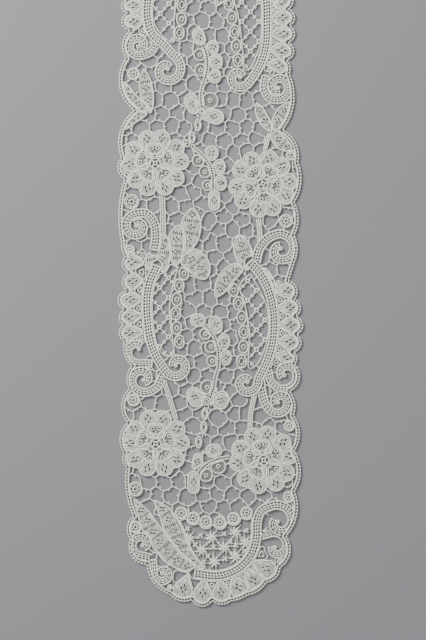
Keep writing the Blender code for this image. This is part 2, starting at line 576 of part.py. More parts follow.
def simple(loop, flatness):
    """The loop with only the points that its shape needs, moved so that its sides straddle the curve."""
    far = int(np.argmax(np.linalg.norm(loop - loop[0], axis=1)))
    closed = np.vstack([loop, loop[:1]])
    spans = [(0, far), (far, len(loop))]
    kept = {}
    while spans:
        a, b = spans.pop()
        run = closed[b] - closed[a]
        length = max(np.linalg.norm(run), GRID)
        offsets = closed[a:b] - closed[a]
        bows = (offsets[:, 0] * run[1] - offsets[:, 1] * run[0]) / length
        worst = int(np.argmax(np.abs(bows)))
        if abs(bows[worst]) > flatness:
            spans += [(a, a + worst), (a + worst, b)]
        else:
            kept[a] = float(bows[worst])
    order = sorted(kept)
    points = loop[order]
    bow = np.array([kept[k] for k in order])
    along = np.roll(points, -1, axis=0) - np.roll(points, 1, axis=0)
    along /= np.maximum(np.linalg.norm(along, axis=1), GRID)[:, None]
    move = (bow + np.roll(bow, 1)) / 4
    return points + np.column_stack([along[:, 1], -along[:, 0]]) * move[:, None]


def holds(loop, point):
    """Whether the loop goes round the point."""
    x, s = point
    a, b = loop, np.roll(loop, -1, axis=0)
    crosses = (a[:, 1] > s) != (b[:, 1] > s)
    with np.errstate(divide="ignore", invalid="ignore"):
        at = a[:, 0] + (s - a[:, 1]) * (b[:, 0] - a[:, 0]) / (b[:, 1] - a[:, 1])
    return bool(np.sum(crosses & (x < at)) % 2)


def sides_of(loops):
    """The start and the end of every side of the loops."""
    return np.vstack(loops), np.vstack([np.roll(loop, -1, axis=0) for loop in loops])


def crossed(these, those):
    """Whether any of these sides crosses one of those."""
    def turn(a, b, c):
        return np.sign((b[..., 0] - a[..., 0]) * (c[..., 1] - a[..., 1])
                       - (b[..., 1] - a[..., 1]) * (c[..., 0] - a[..., 0]))

    p, q = (ends[:, None] for ends in these)
    r, s = (ends[None] for ends in those)
    return bool(((turn(p, q, r) * turn(p, q, s) < 0) & (turn(r, s, p) * turn(r, s, q) < 0)).any())


def simplified(loops, flatness, placed):
    """A body's loops with few points, and with more where fewer would cross one another or a piece in place."""
    low, high = loops[0].min(axis=0) - MARGIN, loops[0].max(axis=0) + MARGIN
    for _ in range(MOST_TRIES):
        few = [simple(loop, flatness) for loop in loops]
        sides = sides_of(few)
        clear = not crossed(sides, sides)
        for starts, ends in placed:
            near = ((np.maximum(starts, ends) > low) & (np.minimum(starts, ends) < high)).all(axis=1)
            clear = clear and not (near.any() and crossed(sides, (starts[near], ends[near])))
        if clear:
            break
        flatness *= FINER
    placed.append(sides)
    return few


def bodies_of(field, window):
    """Each separate body in the field, largest first, as its outer loop followed by its holes."""
    loops = outlines(without_slivers(field), window)
    bodies = [[loop] for loop in sorted(loops, key=area_of, reverse=True) if area_of(loop) > LEAST_BODY]
    for hole in loops:
        if area_of(hole) > -LEAST_HOLE:
            continue
        round_it = [body for body in bodies if holds(body[0], hole[0])]
        if round_it:
            min(round_it, key=lambda body: area_of(body[0])).append(hole)
    return bodies


# ---------------------------------------------------------------- plates

def plate(name, loops, crowns, thick, material, shift):
    """A flat plate of the loops' shape, raised at its crowns."""
    points = []
    edges = []
    for loop in loops:
        first = len(points)
        points += [tuple(p) for p in loop]
        edges += [(first + k, first + (k + 1) % len(loop)) for k in range(len(loop))]
    rim_count = len(points)
    rim = np.array(points)
    heights = []
    for x, s, rise in crowns:
        if np.hypot(rim[:, 0] - x, rim[:, 1] - s).min() < CROWN_GAP:
            continue
        if sum(holds(loop, (x, s)) for loop in loops) % 2 and not any(
                math.hypot(x - points[k][0], s - points[k][1]) < CROWN_GAP for k in range(rim_count, len(points))):
            points.append((x, s))
            heights.append(rise)
    verts, _, faces, sources, _, _ = delaunay_2d_cdt([Vector(p) for p in points], edges, [], 0, 1e-4, True)
    lift = [0.0] * len(verts)
    for k, source in enumerate(sources):
        for index in source:
            if index >= rim_count:
                lift[k] = heights[index - rim_count]
    kept = []
    for face in faces:
        middle = sum((verts[k] for k in face), Vector((0, 0))) / 3
        if sum(holds(loop, middle) for loop in loops) % 2:
            kept.append(tuple(face))
    used = sorted({k for face in kept for k in face})
    place = {k: n for n, k in enumerate(used)}
    count = len(used)
    low = [((verts[k].x - shift[0]) * MM, (verts[k].y - shift[1]) * MM, 0.0) for k in used]
    high = [(x, y, (thick + lift[k]) * MM) for (x, y, _), k in zip(low, used)]
    mesh_faces = []
    sides = {}
    for face in kept:
        ring = [place[k] for k in face]
        mesh_faces.append([k + count for k in ring])
        mesh_faces.append(ring[::-1])
        for a, b in zip(ring, ring[1:] + ring[:1]):
            if (b, a) in sides:
                del sides[(b, a)]
            else:
                sides[(a, b)] = True
    mesh_faces += [[a, b, b + count, a + count] for a, b in sides]
    mesh = bpy.data.meshes.new(name)
    mesh.from_pydata(low + high, [], mesh_faces)
    mesh.validate()
    mesh.materials.append(material)
    piece = bpy.data.objects.new(name, mesh)
    bpy.context.collection.objects.link(piece)
    return piece


def cloth_material(name, colour, roughness):
    """Its colour, roughness and metallic value."""
    material = bpy.data.materials.new(name)
    material.use_nodes = True
    shader = material.node_tree.nodes["Principled BSDF"]
    shader.inputs["Base Color"].default_value = colour
    shader.inputs["Roughness"].default_value = roughness
    shader.inputs["Metallic"].default_value = 0.0
    return material


# ---------------------------------------------------------------- the edge, the ground and the fillings

def arc(a, b, bulge):
    """Points from a up to b along an arc that stands out to the right of the way by its bulge."""
    a, b = np.array(a), np.array(b)
    chord = b - a
    length = np.linalg.norm(chord)
    out = np.array([chord[1], -chord[0]]) / length
    if bulge < 0.3:
        return [a]
    radius = (length ** 2 / 4 + bulge ** 2) / (2 * bulge)
    centre = (a + b) / 2 + out * (bulge - radius)
    half = math.asin(min(1.0, length / 2 / radius))
    if bulge > radius:
        half = math.pi - half
    steps = max(3, round(2 * half * radius / CURVE_STEP))
    way = math.atan2(out[1], out[0])
    return [centre + radius * np.array([math.cos(way + half * (2 * k / steps - 1)),
                                        math.sin(way + half * (2 * k / steps - 1))]) for k in range(steps)]


def edge_outline():
    """The whole outline of the lappet, from its heading down the left side and up the right."""
    left = [(x, s + REPEAT, bulge) for x, s, bulge in EDGE[slice(*EDGE_LEFT_REPEATED)]]
    right = [(x, s + REPEAT, bulge) for x, s, bulge in EDGE[slice(*EDGE_RIGHT_REPEATED)]]
    line = LENGTH - HEADING_WIDTH
    rows = [row for row in left + EDGE + right if row[1] < line - CURVE_STEP]
    points = [np.array((HEADING_LEFT, LENGTH)), np.array((HEADING_LEFT, line))]
    for (x, s, bulge), (next_x, next_s, _) in zip(rows, rows[1:]):
        points += arc((x, s), (next_x, next_s), bulge)
    points += [np.array(rows[-1][:2]), np.array((HEADING_RIGHT, line)), np.array((HEADING_RIGHT, LENGTH))]
    return np.array(points)


def lattice(low, high, pitch, rng):
    """The middles of the cells of an uneven honeycomb."""
    rise = pitch * math.sqrt(3) / 2
    rows = math.ceil((high[1] - low[1]) / rise) + 4
    columns = math.ceil((high[0] - low[0]) / pitch) + 4
    wander = pitch * CELL_JITTER
    return [Vector((low[0] + pitch * (column - 1.5 + (row % 2) / 2) + rng.uniform(-wander, wander),
                    low[1] + rise * (row - 1.5) + rng.uniform(-wander, wander)))
            for row in range(rows) for column in range(columns)]


def middle_of_ring(a, b, c):
    """The point as far from each of the three as from the others."""
    d = 2 * (a.x * (b.y - c.y) + b.x * (c.y - a.y) + c.x * (a.y - b.y))
    squares = [p.length_squared for p in (a, b, c)]
    x = (squares[0] * (b.y - c.y) + squares[1] * (c.y - a.y) + squares[2] * (a.y - b.y)) / d
    y = (squares[0] * (c.x - b.x) + squares[1] * (a.x - c.x) + squares[2] * (b.x - a.x)) / d
    return x, y


def bars_between(seeds):
    """The bars between neighbouring cells."""
    verts, _, faces, *_ = delaunay_2d_cdt(seeds, [], [], 0, 1e-4, True)
    joints = {}
    for face in faces:
        middle = middle_of_ring(*(verts[k] for k in face))
        for a, b in zip(face, face[1:] + face[:1]):
            joints.setdefault((min(a, b), max(a, b)), []).append(middle)
    return [pair for pair in joints.values() if len(pair) == 2 and math.dist(*pair) < LONGEST_BAR]


def read(field, whole, x, s):
    """The field's value at the grid point nearest to a place."""
    row = min(max(round(s / GRID) - whole.rows[0], 0), len(whole.rows) - 1)
    column = min(max(round(x / GRID) - whole.columns[0], 0), len(whole.columns) - 1)
    return field[row, column]


def clipped_bars(pairs, room, whole):
    """The stretches of the bars that lie in open room, without stubs and without bars that run along a motif."""
    strokes = []
    for a, b in pairs:
        a, b = np.array(a), np.array(b)
        steps = max(2, math.ceil(np.linalg.norm(b - a) / 0.5))
        places = [a + (b - a) * k / steps for k in range(steps + 1)]
        open_places = [p for p in places if read(room, whole, *p) > 0]
        if not open_places:
            continue
        free = max(read(room, whole, *p) for p in open_places)
        if np.linalg.norm(open_places[-1] - open_places[0]) < LEAST_BAR or free < 1.6 * BAR_WIDTH / 2:
            continue
        strokes.append(brush([open_places[0] - (b - a) * 0.5 / steps, open_places[-1] + (b - a) * 0.5 / steps],
                             BAR_WIDTH))
    return strokes


# ---------------------------------------------------------------- the pieces

class Motif:
    """A piece's strokes, the points that raise or lower its face, and the filled space of an open filling."""

    def __init__(self, name):
        self.name = name
        self.strokes = []
        self.crowns = []
        self.space = None
        self.extra = []  # patches of the ground that are worked in one with it

    def add(self, strokes, rise):
        self.strokes += strokes
        self.crowns += middle_crowns(strokes, rise)

    def box(self):
        return self.strokes if self.space is None else [np.column_stack([self.space, np.zeros(len(self.space))])]

    def distance(self, window):
        """The distance to what the motif takes up."""
        return painted(self.strokes, window) if self.space is None else outline_distance(self.space, window)


def motifs():
    """Each motif piece, in the order in which it is cut."""
    found = {}

    def motif(name):
        return found.setdefault(name, Motif(name))

    for name, x, s, radius, turn in FLOWERS:
        flower = motif(name)
        flower.strokes = flower_strokes(x, s, radius, turn)
        flower.crowns = flower_crowns(x, s, radius, turn)
    for name, lead, centre, sweep, start, end, last_radius in SCROLLS:
        motif(name).add([scroll(lead, centre, sweep, start, end, last_radius)], BAND_RISE)
        motif(name).strokes.append(disc(*centre, CURL_FILL * math.dist(lead[-1], centre)))
    rings = motif("shell_rings")
    rings.strokes = [disc(x, s, SHELL_RING_RADIUS) for x, s in SHELL_RINGS] + [brush(SHELL_RINGS, SHELL_RING_TIE)]
    rings.crowns = [(x, s, SHEER_DIP) for x, s in SHELL_RINGS]
    for name, leaves in LEAVES:
        strokes = [leaf(points, width) for points, width in leaves]
        motif(name).add(strokes, LOBE_RISE)
        for again in [upper for lower, upper in LEAVES_REPEATED if lower == name]:
            motif(again).add([stroke + (0.0, REPEAT, 0.0) for stroke in strokes], LOBE_RISE)
    for name, sprig in SPRIGS:
        one = motif(name)
        one.add([oval(*row) for row in sprig["solid"]] + [oval(x, s, *DROP) for x, s in sprig["chain"]], LOBE_RISE)
        one.add([disc(*row) for row in sprig["sheer"]], SHEER_DIP)
        one.strokes.append(brush(smooth(sprig["stem"]), STEM_WIDTH))
    for name, points, width in STEMS:
        motif(name).strokes.append(brush(smooth(points), width))
    for name, beads in CHAINS:
        motif(name).add([oval(x, s, *BEAD) for x, s in beads], BAND_RISE)
    for name, line, width, rows in SCALLOPS:
        one = motif(name)
        one.add([oval(*row) for row in rows], LOBE_RISE)
        one.strokes.append(brush(smooth(line), width))
    for name, points in FILLINGS:
        motif(name).space = np.array(smooth(points + points[:1])[:-1])
    return list(found.values())


class Cloth:
    """The whole lappet: what is inside its edge, and what each motif leaves to the next."""

    def __init__(self):
        self.outline = edge_outline()
        self.low, self.high = self.outline.min(axis=0), self.outline.max(axis=0)
        self.whole = Window(*(self.low - 2 * MARGIN), *(self.high + 2 * MARGIN))
        self.edge = outline_distance(self.outline, self.whole)
        below = self.whole.s - (LENGTH - HEADING_WIDTH)
        self.heading = np.maximum(self.edge, -below)
        self.braid = np.maximum(np.maximum(self.edge, -self.edge - EDGING_WIDTH), below + SEAM)
        self.outside = np.maximum(self.edge + EDGING_WIDTH + EDGE_SEAM, below + SEAM)
        self.rng = random.Random(SEED)
        self.motifs = motifs()

    def others(self, one, part, earlier_only):
        """The distance to the other motifs over a window, or only to those that are cut before this one."""
        box_low, box_high = stroke_box([np.array([(part.x[0, 0], part.s[0, 0], 0.0),
                                                  (part.x[-1, -1], part.s[-1, -1], 0.0)])])
        distance = np.full(part.x.shape, FAR)
        for other in self.motifs:
            if other is one:
                if earlier_only:
                    break
                continue
            low, high = stroke_box(other.box())
            if (low < box_high).all() and (high > box_low).all():
                distance = np.minimum(distance, other.distance(part))
        return distance

    def field(self, one, part):
        """The motif over a window, cut back from the edging and from the motifs before it."""
        room = np.maximum(SEAM - self.others(one, part, True), self.outside[part.inside(self.whole)])
        field = np.maximum(one.distance(part), room)
        if one.space is not None:
            low, high = stroke_box(one.box())
            pairs = bars_between(lattice(low, high, STAR_PITCH, self.rng))
            mesh = painted([brush(pair, 0.9 * BAR_WIDTH) for pair in pairs], part)
            field = np.maximum(np.minimum(mesh, -field - FILLING_RIM), field)
        return field

    def ground(self):
        """The net of bars, with its ring beads, in what the motifs leave."""
        taken = np.full(self.whole.x.shape, FAR)
        for one in self.motifs:
            part = window_round(one.box(), self.whole)
            here = part.inside(self.whole)
            taken[here] = np.minimum(taken[here], one.distance(part))
        room = np.minimum(taken - SEAM, -self.outside)
        pairs = bars_between(lattice(self.low, self.high, CELL_PITCH, self.rng))
        bars = clipped_bars(pairs, room, self.whole)
        self.net = painted(bars + [disc(*row) for row in GROUND_BEADS], self.whole)
        return bodies_of(np.maximum(self.net, -room), self.whole)

    def give_away(self, body):
        """Let the motif beside a small patch of the ground have it."""
        loop = body[0]
        points = [np.column_stack([loop, np.zeros(len(loop))])]
        part = window_round(points, self.whole)
        best = None
        for one in self.motifs:
            if one.space is not None:
                continue
            low, high = stroke_box(one.box())
            if (low > loop.max(axis=0) + 1).any() or (high < loop.min(axis=0) - 1).any():
                continue
            distance = one.distance(part)
            near = sum(read(distance, part, x, s) < SEAM + 2 * GRID for x, s in loop)
            if near and (best is None or near > best[0]):
                best = (near, one)
        if best:
            best[1].extra.append(loop)

    def field_with_patches(self, one):
        """The motif with the patches of the ground that it was given."""
        boxes = one.box() + [np.column_stack([loop, np.zeros(len(loop))]) for loop in one.extra]
        part = window_round(boxes, self.whole)
        field = self.field(one, part)
        if one.extra:
            here = part.inside(self.whole)
            room = np.maximum(SEAM - self.others(one, part, False), self.outside[here])
            net = np.maximum(self.net[here], room)
            beside = one.distance(part) - SEAM - GRID
            for loop in one.extra:
                patch = outline_distance(loop, part)
                joined = np.minimum(patch, np.maximum(patch - 2 * SEAM, beside))
                field = np.minimum(field, np.maximum(net, joined))
        return field, part


def build():
    for item in list(bpy.data.objects):
        bpy.data.objects.remove(item)
    lace = cloth_material("lace", LACE, 0.8)
    tape = cloth_material("tape", TAPE, 0.85)
    cloth = Cloth()
    shift = (cloth.low + cloth.high) / 2
    placed = []

    def add(name, body, crowns=(), thick=CLOTH_THICK, material=lace, flatness=FLATNESS):
        plate(name, simplified(body, flatness, placed), crowns, thick, material, shift)

    add("heading", bodies_of(cloth.heading, cloth.whole)[0], thick=HEADING_THICK, material=tape)
    for name, half in (("edging_left", cloth.whole.x + SEAM / 2), ("edging_right", SEAM / 2 - cloth.whole.x)):
        body = bodies_of(np.maximum(cloth.braid, half), cloth.whole)[0]
        add(name, body, thick=EDGING_THICK, flatness=EDGE_FLATNESS)
    ground = cloth.ground()
    for body in [body for body in ground if area_of(body[0]) < LEAST_GROUND]:
        cloth.give_away(body)
    for one in cloth.motifs:
        body = bodies_of(*cloth.field_with_patches(one))[0]
        if one.space is not None:
            add(one.name, body, thick=GROUND_THICK)
        elif one.name.startswith("flower"):
            add(one.name, body, one.crowns, flatness=FLOWER_FLATNESS)
        else:
            add(one.name, body, one.crowns)
    for k, body in enumerate(body for body in ground if area_of(body[0]) >= LEAST_GROUND):
        add("ground_%d" % (k + 1), body, thick=GROUND_THICK, flatness=ROUGH_FLATNESS)


build()
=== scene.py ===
import math
import random

import bpy
import numpy as np
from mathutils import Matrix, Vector
from mathutils.geometry import delaunay_2d_cdt


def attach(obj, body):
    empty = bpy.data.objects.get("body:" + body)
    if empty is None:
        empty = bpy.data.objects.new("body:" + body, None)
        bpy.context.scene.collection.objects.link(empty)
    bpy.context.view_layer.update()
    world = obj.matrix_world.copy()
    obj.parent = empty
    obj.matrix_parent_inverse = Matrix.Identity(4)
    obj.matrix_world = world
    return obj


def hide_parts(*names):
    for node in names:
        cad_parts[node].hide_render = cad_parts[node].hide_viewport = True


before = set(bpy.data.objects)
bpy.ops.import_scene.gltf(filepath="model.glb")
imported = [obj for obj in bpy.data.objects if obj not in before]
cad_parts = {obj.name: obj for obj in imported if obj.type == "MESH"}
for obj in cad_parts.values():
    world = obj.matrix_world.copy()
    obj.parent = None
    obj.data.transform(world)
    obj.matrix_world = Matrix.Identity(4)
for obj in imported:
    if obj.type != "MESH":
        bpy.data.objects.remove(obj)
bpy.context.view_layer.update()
print("frame loaded:", len(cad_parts), "nodes")

# Places are in millimetres: x across from the strip's centreline, s up from the tip of its rounded end.
mm = 0.001  # in metres

strip = {
    "length": 470.0,
    "repeat": 174.6,  # of the pattern along the strip
    "headingWidth": 6.0,
    "headingLeft": -48.0,
    "headingRight": 49.0,
    "braidWidth": 1.7,
    "seam": 0.4,
    "gridStep": 0.2,
    "gridMargin": 2.0,
    "farAway": 99.0,
    "curveStep": 2.5,
    "leastBulge": 0.3,  # of the edge, which runs straight below it
    "seed": 11,
}
repeat = strip["repeat"]

# x, s and the outward bulge of the arc on to the next row, from the left side round the tip to the right side
edge = {
    "rows": [
        (-48.4, 363.6, 4.0), (-47.7, 355.8, 4.9), (-46.2, 345.6, 3.6), (-49.2, 328.5, 6.6),
        (-44.1, 297.3, 5.0), (-51.9, 268.8, 3.4), (-49.9, 256.2, 2.6), (-51.9, 217.8, 0.7),
        (-49.8, 209.4, 2.7), (-47.7, 199.8, 3.6), (-48.4, 189.0, 5.0), (-49.9, 177.9, 3.4),
        (-50.3, 168.7, 3.2), (-50.3, 159.1, 2.3), (-45.6, 144.0, 2.4), (-47.1, 130.2, 4.4),
        (-48.0, 110.1, 3.7), (-50.3, 91.8, 1.7), (-48.9, 83.4, 2.2), (-44.7, 54.0, 3.1),
        (-46.5, 40.2, 5.1), (-36.6, 25.2, 3.5), (-23.1, 7.2, 2.4), (-9.9, 4.2, 3.9), (2.1, 3.6, 2.3),
        (13.2, 3.3, 0.7), (23.4, 6.9, 1.5), (34.5, 14.4, 2.3), (42.9, 23.4, 4.3), (46.2, 42.0, 4.1),
        (51.3, 69.0, 3.7), (51.1, 93.0, 3.5), (50.7, 114.6, 2.1), (48.3, 129.0, 4.7), (51.3, 145.2, 2.3),
        (50.3, 152.4, 4.0), (52.6, 163.2, 4.2), (51.9, 173.7, 3.6), (51.1, 184.2, 3.6),
        (47.7, 195.0, 0.2), (51.3, 206.4, 1.9), (51.1, 222.6, 2.6), (51.1, 242.4, 3.0),
        (53.4, 266.1, 3.8), (44.1, 285.6, 4.8), (48.3, 319.2, 1.5), (46.5, 327.6, 4.2),
        (47.3, 338.1, 3.9), (48.1, 348.3, 3.9), (47.4, 357.9, 3.2), (47.7, 369.6, 0.2),
    ],
    "leftRepeated": (4, 10),
    "rightRepeated": (40, 45),
}


def lifted(rows):  # the same rows one repeat further up
    return [(x, s + repeat, *rest) for x, s, *rest in rows]


def wayAt(degrees):  # a step of one millimetre in that direction
    turn = math.radians(degrees)
    return np.array([math.cos(turn), math.sin(turn)])


def leftOf(way):
    return np.array([-way[1], way[0]])


def nearestOn(line, x, s):
    return line[np.argmin(np.hypot(line[:, 0] - x, line[:, 1] - s))]


def smooth(points, step=strip["curveStep"]):  # a curve through the points, with points about a step apart
    rows = [np.array(p, dtype=float) for p in points]
    if len(rows) < 3:
        return rows
    ends = [2 * rows[0] - rows[1]] + rows + [2 * rows[-1] - rows[-2]]
    out = []
    for a, b, c, d in zip(ends, ends[1:], ends[2:], ends[3:]):
        count = max(1, round(np.linalg.norm(c - b) / step))
        for k in range(count):
            t = k / count
            out.append(0.5 * (2 * b + (c - a) * t + (2 * a - 5 * b + 4 * c - d) * t ** 2
                              + (3 * b - a - 3 * c + d) * t ** 3))
    return out + [rows[-1]]


def brush(points, start, end=None):  # a stroke along the points, its width running from start to end
    end = start if end is None else end
    last = max(1, len(points) - 1)
    return np.array([(x, s, (start + (end - start) * k / last) / 2) for k, (x, s) in enumerate(points)])


def disc(x, s, radius):
    return np.array([(x, s, radius)])


def oval(x, s, across, along, turn=0.0):
    reach = abs(along - across)
    dx, ds = reach * wayAt(turn + (90.0 if along > across else 0.0))
    radius = min(across, along)
    return np.array([(x - dx, s - ds, radius), (x, s, radius), (x + dx, s + ds, radius)])


def pointedOval(x, s, across, along, tip=0.9):
    return np.array([(x, s - along + tip, tip), (x, s - 0.25 * along, 0.92 * across), (x, s, across),
                     (x, s + 0.25 * along, 0.92 * across), (x, s + along - tip, tip)])


def circle(x, s, radius, count=12):
    turns = [2 * math.pi * k / count for k in range(count)]
    return [(x + radius * math.cos(t), s + radius * math.sin(t)) for t in turns]


def arc(a, b, bulge):  # points from a up to b, standing out to the right of the way by the bulge
    a, b = np.array(a), np.array(b)
    chord = b - a
    length = np.linalg.norm(chord)
    out = np.array([chord[1], -chord[0]]) / length
    if bulge < strip["leastBulge"]:
        return [a]
    radius = (length ** 2 / 4 + bulge ** 2) / (2 * bulge)
    centre = (a + b) / 2 + out * (bulge - radius)
    half = math.asin(min(1.0, length / 2 / radius))
    if bulge > radius:
        half = math.pi - half
    steps = max(3, round(2 * half * radius / strip["curveStep"]))
    way = math.atan2(out[1], out[0])
    turns = [way + half * (2 * k / steps - 1) for k in range(steps)]
    return [centre + radius * np.array([math.cos(t), math.sin(t)]) for t in turns]


def edgeOutline():
    left = lifted(edge["rows"][slice(*edge["leftRepeated"])])
    right = lifted(edge["rows"][slice(*edge["rightRepeated"])])
    line = strip["length"] - strip["headingWidth"]
    rows = [row for row in left + edge["rows"] + right if row[1] < line - strip["curveStep"]]
    corners = [(strip["headingLeft"], strip["length"]), (strip["headingLeft"], line)]
    points = [np.array(p) for p in corners]
    for (x, s, bulge), (nextX, nextS, _) in zip(rows, rows[1:]):
        points += arc((x, s), (nextX, nextS), bulge)
    points += [np.array(rows[-1][:2]), np.array((strip["headingRight"], line))]
    return np.array(points + [np.array((strip["headingRight"], strip["length"]))])


outline = edgeOutline()
outlineLow, outlineHigh = outline.min(axis=0), outline.max(axis=0)
middle = (outlineLow + outlineHigh) / 2  # the frame's origin


def place(x, s, z):
    return ((x - middle[0]) * mm, (s - middle[1]) * mm, z * mm)


# a part of the grid on which the distances to outlines are kept
class Patch:
    def __init__(self, lowX, lowS, highX, highS):
        step = strip["gridStep"]
        self.columns = np.arange(math.floor(lowX / step), math.ceil(highX / step) + 1)
        self.rows = np.arange(math.floor(lowS / step), math.ceil(highS / step) + 1)
        self.x, self.s = np.meshgrid(self.columns * step, self.rows * step)

    def inside(self, larger):
        row, column = self.rows[0] - larger.rows[0], self.columns[0] - larger.columns[0]
        return slice(row, row + len(self.rows)), slice(column, column + len(self.columns))

    def read(self, field, points):  # the field between the grid's points
        points = np.asarray(points, dtype=float)
        column = np.clip(points[:, 0] / strip["gridStep"] - self.columns[0], 0, len(self.columns) - 1.001)
        row = np.clip(points[:, 1] / strip["gridStep"] - self.rows[0], 0, len(self.rows) - 1.001)
        i, j = row.astype(int), column.astype(int)
        u, v = column - j, row - i
        return ((field[i, j] * (1 - u) + field[i, j + 1] * u) * (1 - v)
                + (field[i + 1, j] * (1 - u) + field[i + 1, j + 1] * u) * v)


margin = strip["gridMargin"]
whole = Patch(*(outlineLow - 2 * margin), *(outlineHigh + 2 * margin))


def patchRound(strokes, larger=whole):
    every = np.vstack(strokes)
    low = (every[:, :2] - every[:, 2:]).min(axis=0) - margin
    high = (every[:, :2] + every[:, 2:]).max(axis=0) + margin
    step = strip["gridStep"]
    return Patch(max(low[0], larger.columns[0] * step), max(low[1], larger.rows[0] * step),
                 min(high[0], larger.columns[-1] * step), min(high[1], larger.rows[-1] * step))


def painted(strokes, patch):  # the distance to the strokes' outline, negative inside them
    field = np.full(patch.x.shape, strip["farAway"])
    for stroke in strokes:
        for a, b in list(zip(stroke, stroke[1:])) or [(stroke[0], stroke[0])]:
            part = patchRound([np.array([a, b])], patch)
            if not part.x.size:
                continue
            run = b[:2] - a[:2]
            length2 = float(run @ run)
            share = 0.0
            if length2 > 1e-9:
                share = np.clip(((part.x - a[0]) * run[0] + (part.s - a[1]) * run[1]) / length2, 0.0, 1.0)
            distance = np.hypot(part.x - a[0] - share * run[0], part.s - a[1] - share * run[1])
            here = part.inside(patch)
            field[here] = np.minimum(field[here], distance - (a[2] + share * (b[2] - a[2])))
    return field


def outlineDistance(points, patch):  # near a closed outline, negative inside it
    after = np.roll(points, -1, axis=0)
    within = np.zeros(patch.x.shape, dtype=bool)
    for a, b in zip(points, after):
        crosses = (a[1] > patch.s[:, 0]) != (b[1] > patch.s[:, 0])
        if crosses.any():
            at = a[0] + (patch.s[crosses, 0] - a[1]) * (b[0] - a[0]) / (b[1] - a[1])
            within[crosses] ^= patch.x[crosses] < at[:, None]
    distance = painted([np.array([(*a, 0.0), (*b, 0.0)]) for a, b in zip(points, after)], patch)
    return np.where(within, -distance, distance)


def contours(field, patch, level=0.0):  # closed loops where the field is at the level, lower on their left
    field = field - level
    within = field < 0
    code = within[:-1, :-1] * 1 + within[:-1, 1:] * 2 + within[1:, 1:] * 4 + within[1:, :-1] * 8
    # where a loop enters and leaves a cell, whose sides are 0 below, 1 right, 2 above and 3 left
    ways = {1: [(0, 3)], 2: [(1, 0)], 3: [(1, 3)], 4: [(2, 1)], 6: [(2, 0)], 7: [(2, 3)], 8: [(3, 2)],
            9: [(0, 2)], 11: [(1, 2)], 12: [(3, 1)], 13: [(0, 1)], 14: [(3, 0)],
            5: [(0, 3), (2, 1)], 10: [(1, 0), (3, 2)]}
    sides = ((0, 0, 0), (0, 1, 1), (1, 0, 0), (0, 0, 1))

    def spot(key):
        row, column, upright = key
        here = field[row, column]
        there = field[row + 1, column] if upright else field[row, column + 1]
        share = min(max(here / (here - there), 0.05), 0.95)
        return ((patch.columns[0] + column + (0 if upright else share)) * strip["gridStep"],
                (patch.rows[0] + row + (share if upright else 0)) * strip["gridStep"])

    following = {}
    for row, column in zip(*np.nonzero((code > 0) & (code < 15))):
        for enters, leaves in ways[int(code[row, column])]:
            a, b = sides[enters], sides[leaves]
            following[(row + a[0], column + a[1], a[2])] = (row + b[0], column + b[1], b[2])
    loops = []
    while following:
        key = next(iter(following))
        loop = []
        while key in following:
            loop.append(spot(key))
            key = following.pop(key)
        loops.append(np.array(loop))
    return loops


def areaOf(loop):
    x, s = loop[:, 0], loop[:, 1]
    return 0.5 * float(np.sum(x * np.roll(s, -1) - np.roll(x, -1) * s))


def simpler(loop, flatness):
    far = int(np.argmax(np.linalg.norm(loop - loop[0], axis=1)))
    closed = np.vstack([loop, loop[:1]])
    spans = [(0, far), (far, len(loop))]
    kept = []
    while spans:
        a, b = spans.pop()
        run = closed[b] - closed[a]
        offsets = closed[a:b] - closed[a]
        bows = np.abs(offsets[:, 0] * run[1] - offsets[:, 1] * run[0]) / max(np.linalg.norm(run), 0.1)
        worst = int(np.argmax(bows))
        if bows[worst] > flatness:
            spans += [(a, a + worst), (a + worst, b)]
        else:
            kept.append(a)
    return loop[sorted(kept)]


def evenly(points, step, closed):  # the same line with even steps, its corners a little eased
    line = np.asarray(points, dtype=float)
    if closed:
        line = np.vstack([line, line[:1]])
    run = np.concatenate([[0], np.cumsum(np.linalg.norm(np.diff(line, axis=0), axis=1))])
    count = max(4 if closed else 2, round(run[-1] / step) + (0 if closed else 1))
    at = np.linspace(0, run[-1], count, endpoint=not closed)
    even = np.column_stack([np.interp(at, run, line[:, k]) for k in range(line.shape[1])])
    if closed:
        return (np.roll(even, 1, axis=0) + 2 * even + np.roll(even, -1, axis=0)) / 4
    even[1:-1] = (even[:-2] + 2 * even[1:-1] + even[2:]) / 4
    return even


# what the pieces share: the strip's edge, and the room that earlier pieces have taken
edgeField = outlineDistance(outline, whole)
belowHeading = whole.s - (strip["length"] - strip["headingWidth"])
outside = np.maximum(edgeField + strip["braidWidth"], belowHeading + strip["seam"])
taken = np.full(whole.x.shape, strip["farAway"])

threads = {
    "step": 0.8,
    "cordonnet": 0.42,  # radii
    "fine": 0.3,
    "ring": 0.34,
    "rim": 0.32,
    "net": 0.11,
    "netPitch": 1.0,
    "netStep": 0.2,
    "netInset": 0.2,
    "sides": 6,
    "plateInset": 0.15,
    "plateThick": 0.75,
    "domeRise": 0.6,
    "domeReach": 3.4,
    "flatness": 0.07,
    "leastArea": 3.0,
    "leastHole": 0.2,
    "leastLoop": 20,  # points round a cord's loop
    "innerEvery": 6,  # steps of the grid from one inner point of a plate to the next
    "innerRoom": (0.55, 0.5),  # from them to the plate's rim
    "sharpAngle": 50.0,
    "streak": (0.1, 0.24, 0.1),  # radii at its ends and middle
    "streakStep": 0.6,
    "slitRoom": (0.75, 0.7),
}
cordHeight = 0.9  # of a cordonnet's middle
fineHeight = 0.72
streakHeight = 1.16
netHeight = fineHeight - 0.1


class Work:
    # everything that goes into one piece
    def __init__(self, name):
        self.name = name
        self.plates = []
        self.lines = []
        self.nets = []
        self.rungs = []
        self.picots = []  # x, s and the way each one stands out
        self.area = 0.0


pieces = {}


def work(name):
    return pieces.setdefault(name, Work(name))


